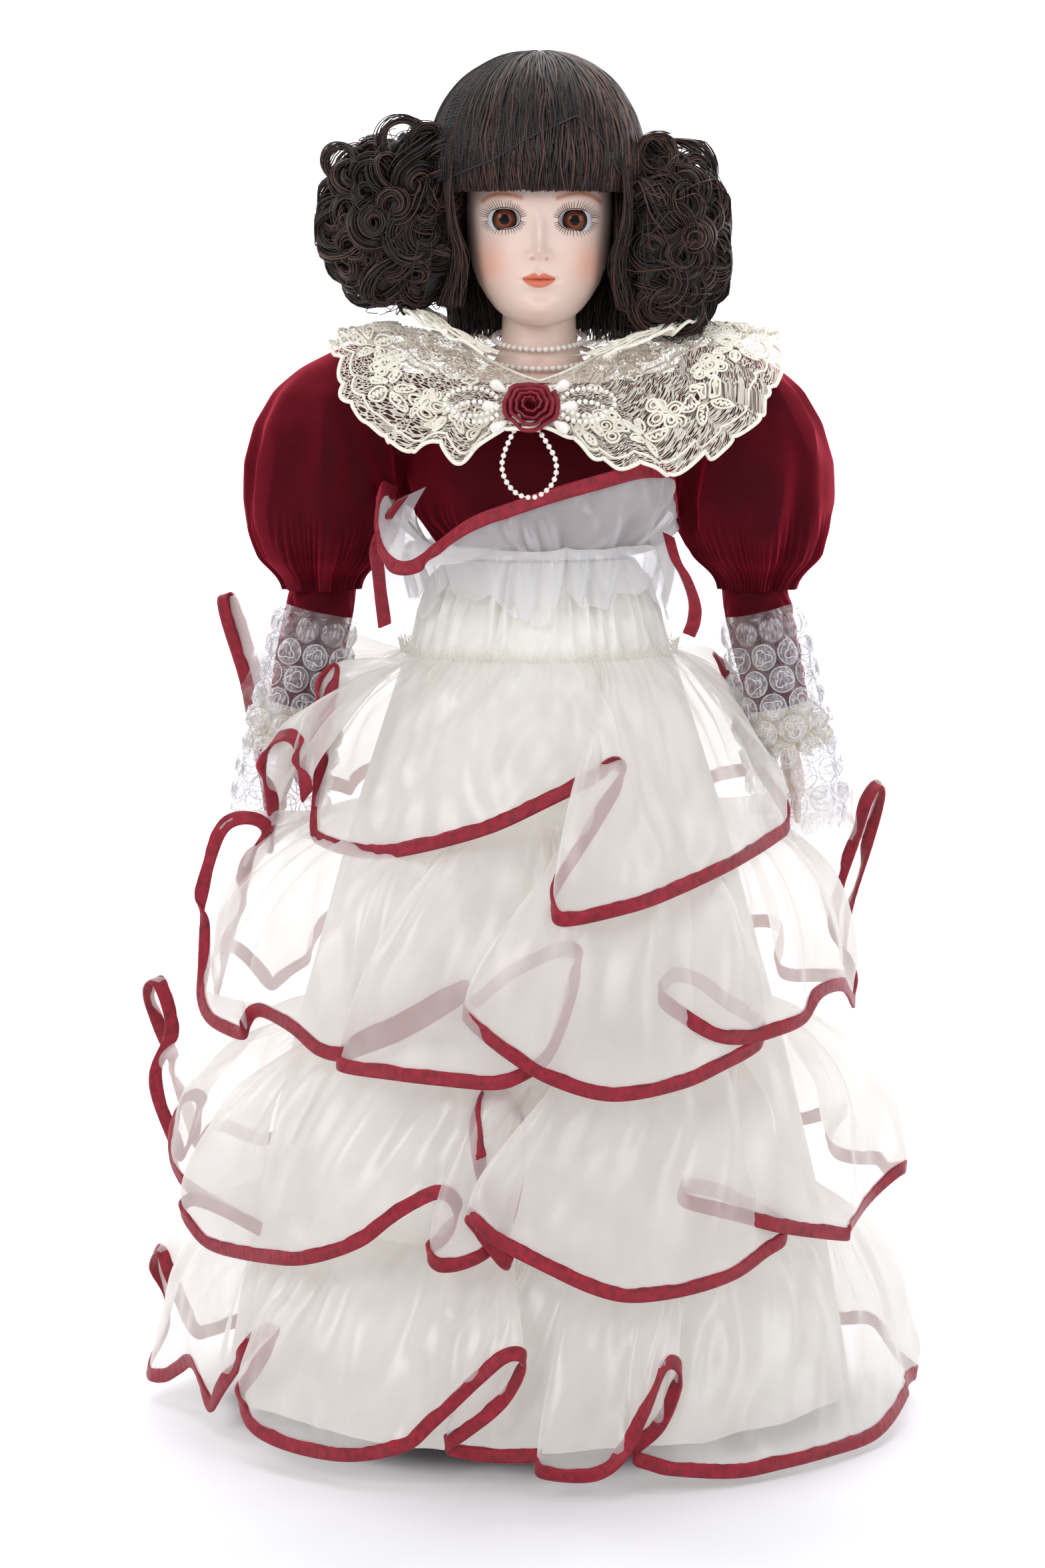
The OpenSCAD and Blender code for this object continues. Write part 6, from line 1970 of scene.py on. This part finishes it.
M_CAPNET = basic("wig_cap_cotton", lin(20, 18, 20), lin(44, 40, 42), 300, 0.85, bump=0.7, bump_scale=1500)
M_SNAP = basic("snap_steel", (0.42, 0.42, 0.44), (0.56, 0.56, 0.58), 200, 0.3, metal=1.0)


def dress(node, mat):
    o = NODES[node]
    o.data.materials.clear()
    o.data.materials.append(mat)


for nd, mt in (("base_felt", M_FELT), ("stand_base", M_METAL), ("stand_tube", M_STEEL), ("tube_collar", M_STEEL), ("thumb_screw", M_BRASS),
               ("stand_rod", M_STEEL), ("waist_clip", M_STEEL), ("lower_leg_left", M_LEG), ("lower_leg_right", M_LEG), ("shoe_left", M_LEATHER),
               ("shoe_right", M_LEATHER), ("eye_plaster", M_PLASTER), ("crown_pate", M_FOAM), ("wig_cap", M_CAPNET), ("back_snaps", M_SNAP)):
    dress(nd, mt)


def soft_copy(node, name, mat, body, amp, seed, kind, w=0.1):
    """the CAD solid's shape, finely divided, with the small lumps and puckers of sewn cloth"""
    src = NODES[node]
    me = src.data.copy()
    o = bpy.data.objects.new(name + "_raw", me)
    bpy.context.scene.collection.objects.link(o)
    import bmesh
    bm = bmesh.new(); bm.from_mesh(me)
    bmesh.ops.remove_doubles(bm, verts=bm.verts, dist=1e-6)
    bm.to_mesh(me); bm.free()
    m = o.modifiers.new("r", "REMESH")
    m.mode = "VOXEL"; m.voxel_size = 0.0010 if kind == "padded" else 0.0007
    s = o.modifiers.new("s", "SMOOTH"); s.factor = 0.5; s.iterations = 4
    bpy.context.view_layer.update()
    dg = bpy.context.evaluated_depsgraph_get()
    me2 = bpy.data.meshes.new_from_object(o.evaluated_get(dg))
    bpy.data.objects.remove(o)
    V = np.zeros(len(me2.vertices) * 3); me2.vertices.foreach_get("co", V); V = V.reshape(-1, 3) / MM
    N_ = np.zeros(len(me2.vertices) * 3); me2.vertices.foreach_get("normal", N_); N_ = N_.reshape(-1, 3)
    g = np.random.default_rng(seed)
    d = 0
    for _ in range(14):
        kx = g.normal(0, 0.16, 3)
        d = d + np.sin(V @ kx + g.uniform(0, 6))
    V = V + N_ * (amp * d / 3.7 - amp * 0.8)[:, None]
    me2.vertices.foreach_set("co", (V * MM).ravel())
    me2.materials.clear(); me2.materials.append(mat)
    me2.polygons.foreach_set("use_smooth", np.ones(len(me2.polygons), bool))
    me2.name = name
    ob = bpy.data.objects.new(name, me2)
    bpy.context.scene.collection.objects.link(ob)
    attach(ob, body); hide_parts(node)
    return ob


soft_copy("torso", "stuffed_torso", M_CLOTH, "doll", 0.5, 601, "padded")
for nm in ("left", "right"):
    soft_copy(f"upper_arm_{nm}", f"stuffed_upper_arm_{nm}", M_CLOTH, f"arm_{nm}", 0.35, 610, "padded")
    soft_copy(f"thigh_{nm}", f"stuffed_thigh_{nm}", M_CLOTH, f"leg_{nm}", 0.4, 620, "padded")


def tube_cloth(name, node, body, mat, rows, cx, folds, amp, w, hemw=0.0, seed=1):
    """rows: z, half width, half depth"""
    nu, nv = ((260, 70))
    th = np.arange(nu) / nu * 2 * math.pi
    zt = [r[0] for r in rows][::-1]
    z = np.linspace(rows[-1][0], rows[0][0], nv)
    T = rings(zt, [r[1:3] for r in rows][::-1], z)
    u = (th / (2 * math.pi))[:, None]
    v = np.linspace(0, 1, nv)[None]
    d = amp * np.sin(2 * math.pi * (folds * u + 0.6 * noise1(u, seed, 3, 2))) * (0.35 + 0.65 * np.abs(np.cos(math.pi * v)))
    if hemw:
        d = d + hemw * np.sin(2 * math.pi * folds * 1.5 * u) * sm(0.85, 1, v)
    d = d - amp * 0.6
    P = np.stack([cx + (T[None, :, 0] + d) * np.cos(th)[:, None], (T[None, :, 1] + d) * np.sin(th)[:, None], z[None] + 0 * u], -1)
    ob = grid(name, P, cu=True, mat=mat, uv=np.stack([u * w * 1000 + 0 * v, z[None] + 0 * u], -1))
    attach(ob, body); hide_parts(node)
    return ob


tube_cloth("cotton_seat", "pantaloon_seat", "doll", M_COTTON, [[320.5, 36.8, 25.2], [333, 37.2, 25.2], [341, 36, 25]], 0, 22, 0.5, 0.20, seed=701)
for sd, nm in ((1, "left"), (-1, "right")):
    tube_cloth(f"cotton_leg_{nm}", f"pantaloon_{nm}", f"leg_{nm}", M_COTTON, [[166, 18.4, 19], [180, 18.4, 19.4], [230, 19.9, 22], [272, 20.2, 22], [284, 19.6, 20]], sd * 21, 14, 0.7, 0.13, 0.8, 710)
tube_cloth("petticoat_cloth", "petticoat", "doll", M_COTTON, [[14, 129.5, 108], [90, 116.5, 96.5], [170, 97.5, 81.5], [250, 75.5, 63.5], [320, 55.5, 48.5]], 0, 40, 0.9, 0.66, 0.6, 730)


# ---------------------------------------------------------------- stage, light, camera
def floor_mat():
    k = NT("floor_pale")
    tc = k.n("TexCoord")
    nz = k.n("TexNoise", Scale=9, Detail=4)
    k.link(tc.outputs["Object"], nz.inputs["Vector"])
    col = k.ramp(nz.outputs["Fac"], [(0.3, (0.78, 0.78, 0.80)), (0.7, (0.84, 0.84, 0.86))])
    p = k.n("BsdfPrincipled", Roughness=0.55)
    k.link(col, p.inputs["Base Color"])
    # the backdrop is seen only from the doll's side, so it hides nothing from behind
    ge = k.n("NewGeometry")
    tp = k.n("BsdfTransparent")
    mx = k.n("MixShader")
    k.link(ge.outputs["Backfacing"], mx.inputs["Fac"])
    k.link(p.outputs[0], mx.inputs[1])
    k.link(tp.outputs[0], mx.inputs[2])
    k.link(mx.outputs[0], k.out.inputs["Surface"])
    return k.m


def stage():
    # a floor that curves up into a backdrop behind the doll
    n = 40
    prof = [(-4000, 0), (900, 0)] + [(900 + 700 * math.sin(a), 700 - 700 * math.cos(a)) for a in np.linspace(0, math.pi / 2, n)[1:]] + [(1600, 4000)]
    prof = np.array(prof)
    xs = np.array([-5000.0, 5000.0])
    P = np.stack([np.stack([np.full(len(prof), x), prof[:, 0], prof[:, 1]], 1) for x in xs], 0)
    P[..., 2] -= 0.05
    ob = grid("floor_sweep", P, mat=floor_mat())


def light(name, loc, aim, size, power, col=(1, 1, 1), sy=None):
    d = bpy.data.lights.new(name, "AREA")
    d.energy = power
    d.size = size
    if sy:
        d.shape = "RECTANGLE"; d.size_y = sy
    d.color = col
    o = bpy.data.objects.new(name, d)
    o.location = loc
    o.rotation_euler = (Vector(aim) - Vector(loc)).to_track_quat("-Z", "Y").to_euler()
    o.visible_camera = False
    bpy.context.scene.collection.objects.link(o)


stage()
light("key_left", (-1.5, -1.6, 1.5), (0, 0, 0.3), 1.2, 21, (1, 0.99, 0.98))
light("fill_right", (1.7, -1.5, 1.1), (0, 0, 0.3), 1.4, 15, (0.98, 0.99, 1))
light("top", (0, 0.1, 2.2), (0, 0, 0.3), 1.8, 16)
light("back_left", (-1.4, 1.0, 0.9), (0, 0, 0.35), 1.0, 5)
light("back_right", (1.4, 1.0, 0.9), (0, 0, 0.35), 1.0, 5)
light("backdrop", (0, 0.75, 1.7), (0, 1.8, 0.6), 2.6, 38, sy=0.8)
w = bpy.data.worlds.new("studio")
w.use_nodes = True
bg = w.node_tree.nodes["Background"]
bg.inputs["Color"].default_value = (0.95, 0.96, 1.0, 1)
bg.inputs["Strength"].default_value = 0.52
bpy.context.scene.world = w
bpy.context.scene.view_settings.view_transform = "Standard"

cam = bpy.data.cameras.new("camera")
cam.lens = 89.2
cam.sensor_width = 36
cam.clip_start = 0.05
cam.dof.use_dof = False
co = bpy.data.objects.new("camera", cam)
co.location = (-0.007, -1.65, 0.50)
co.rotation_euler = (math.radians(90 - 7.94), 0, 0)
bpy.context.scene.collection.objects.link(co)
bpy.context.scene.camera = co
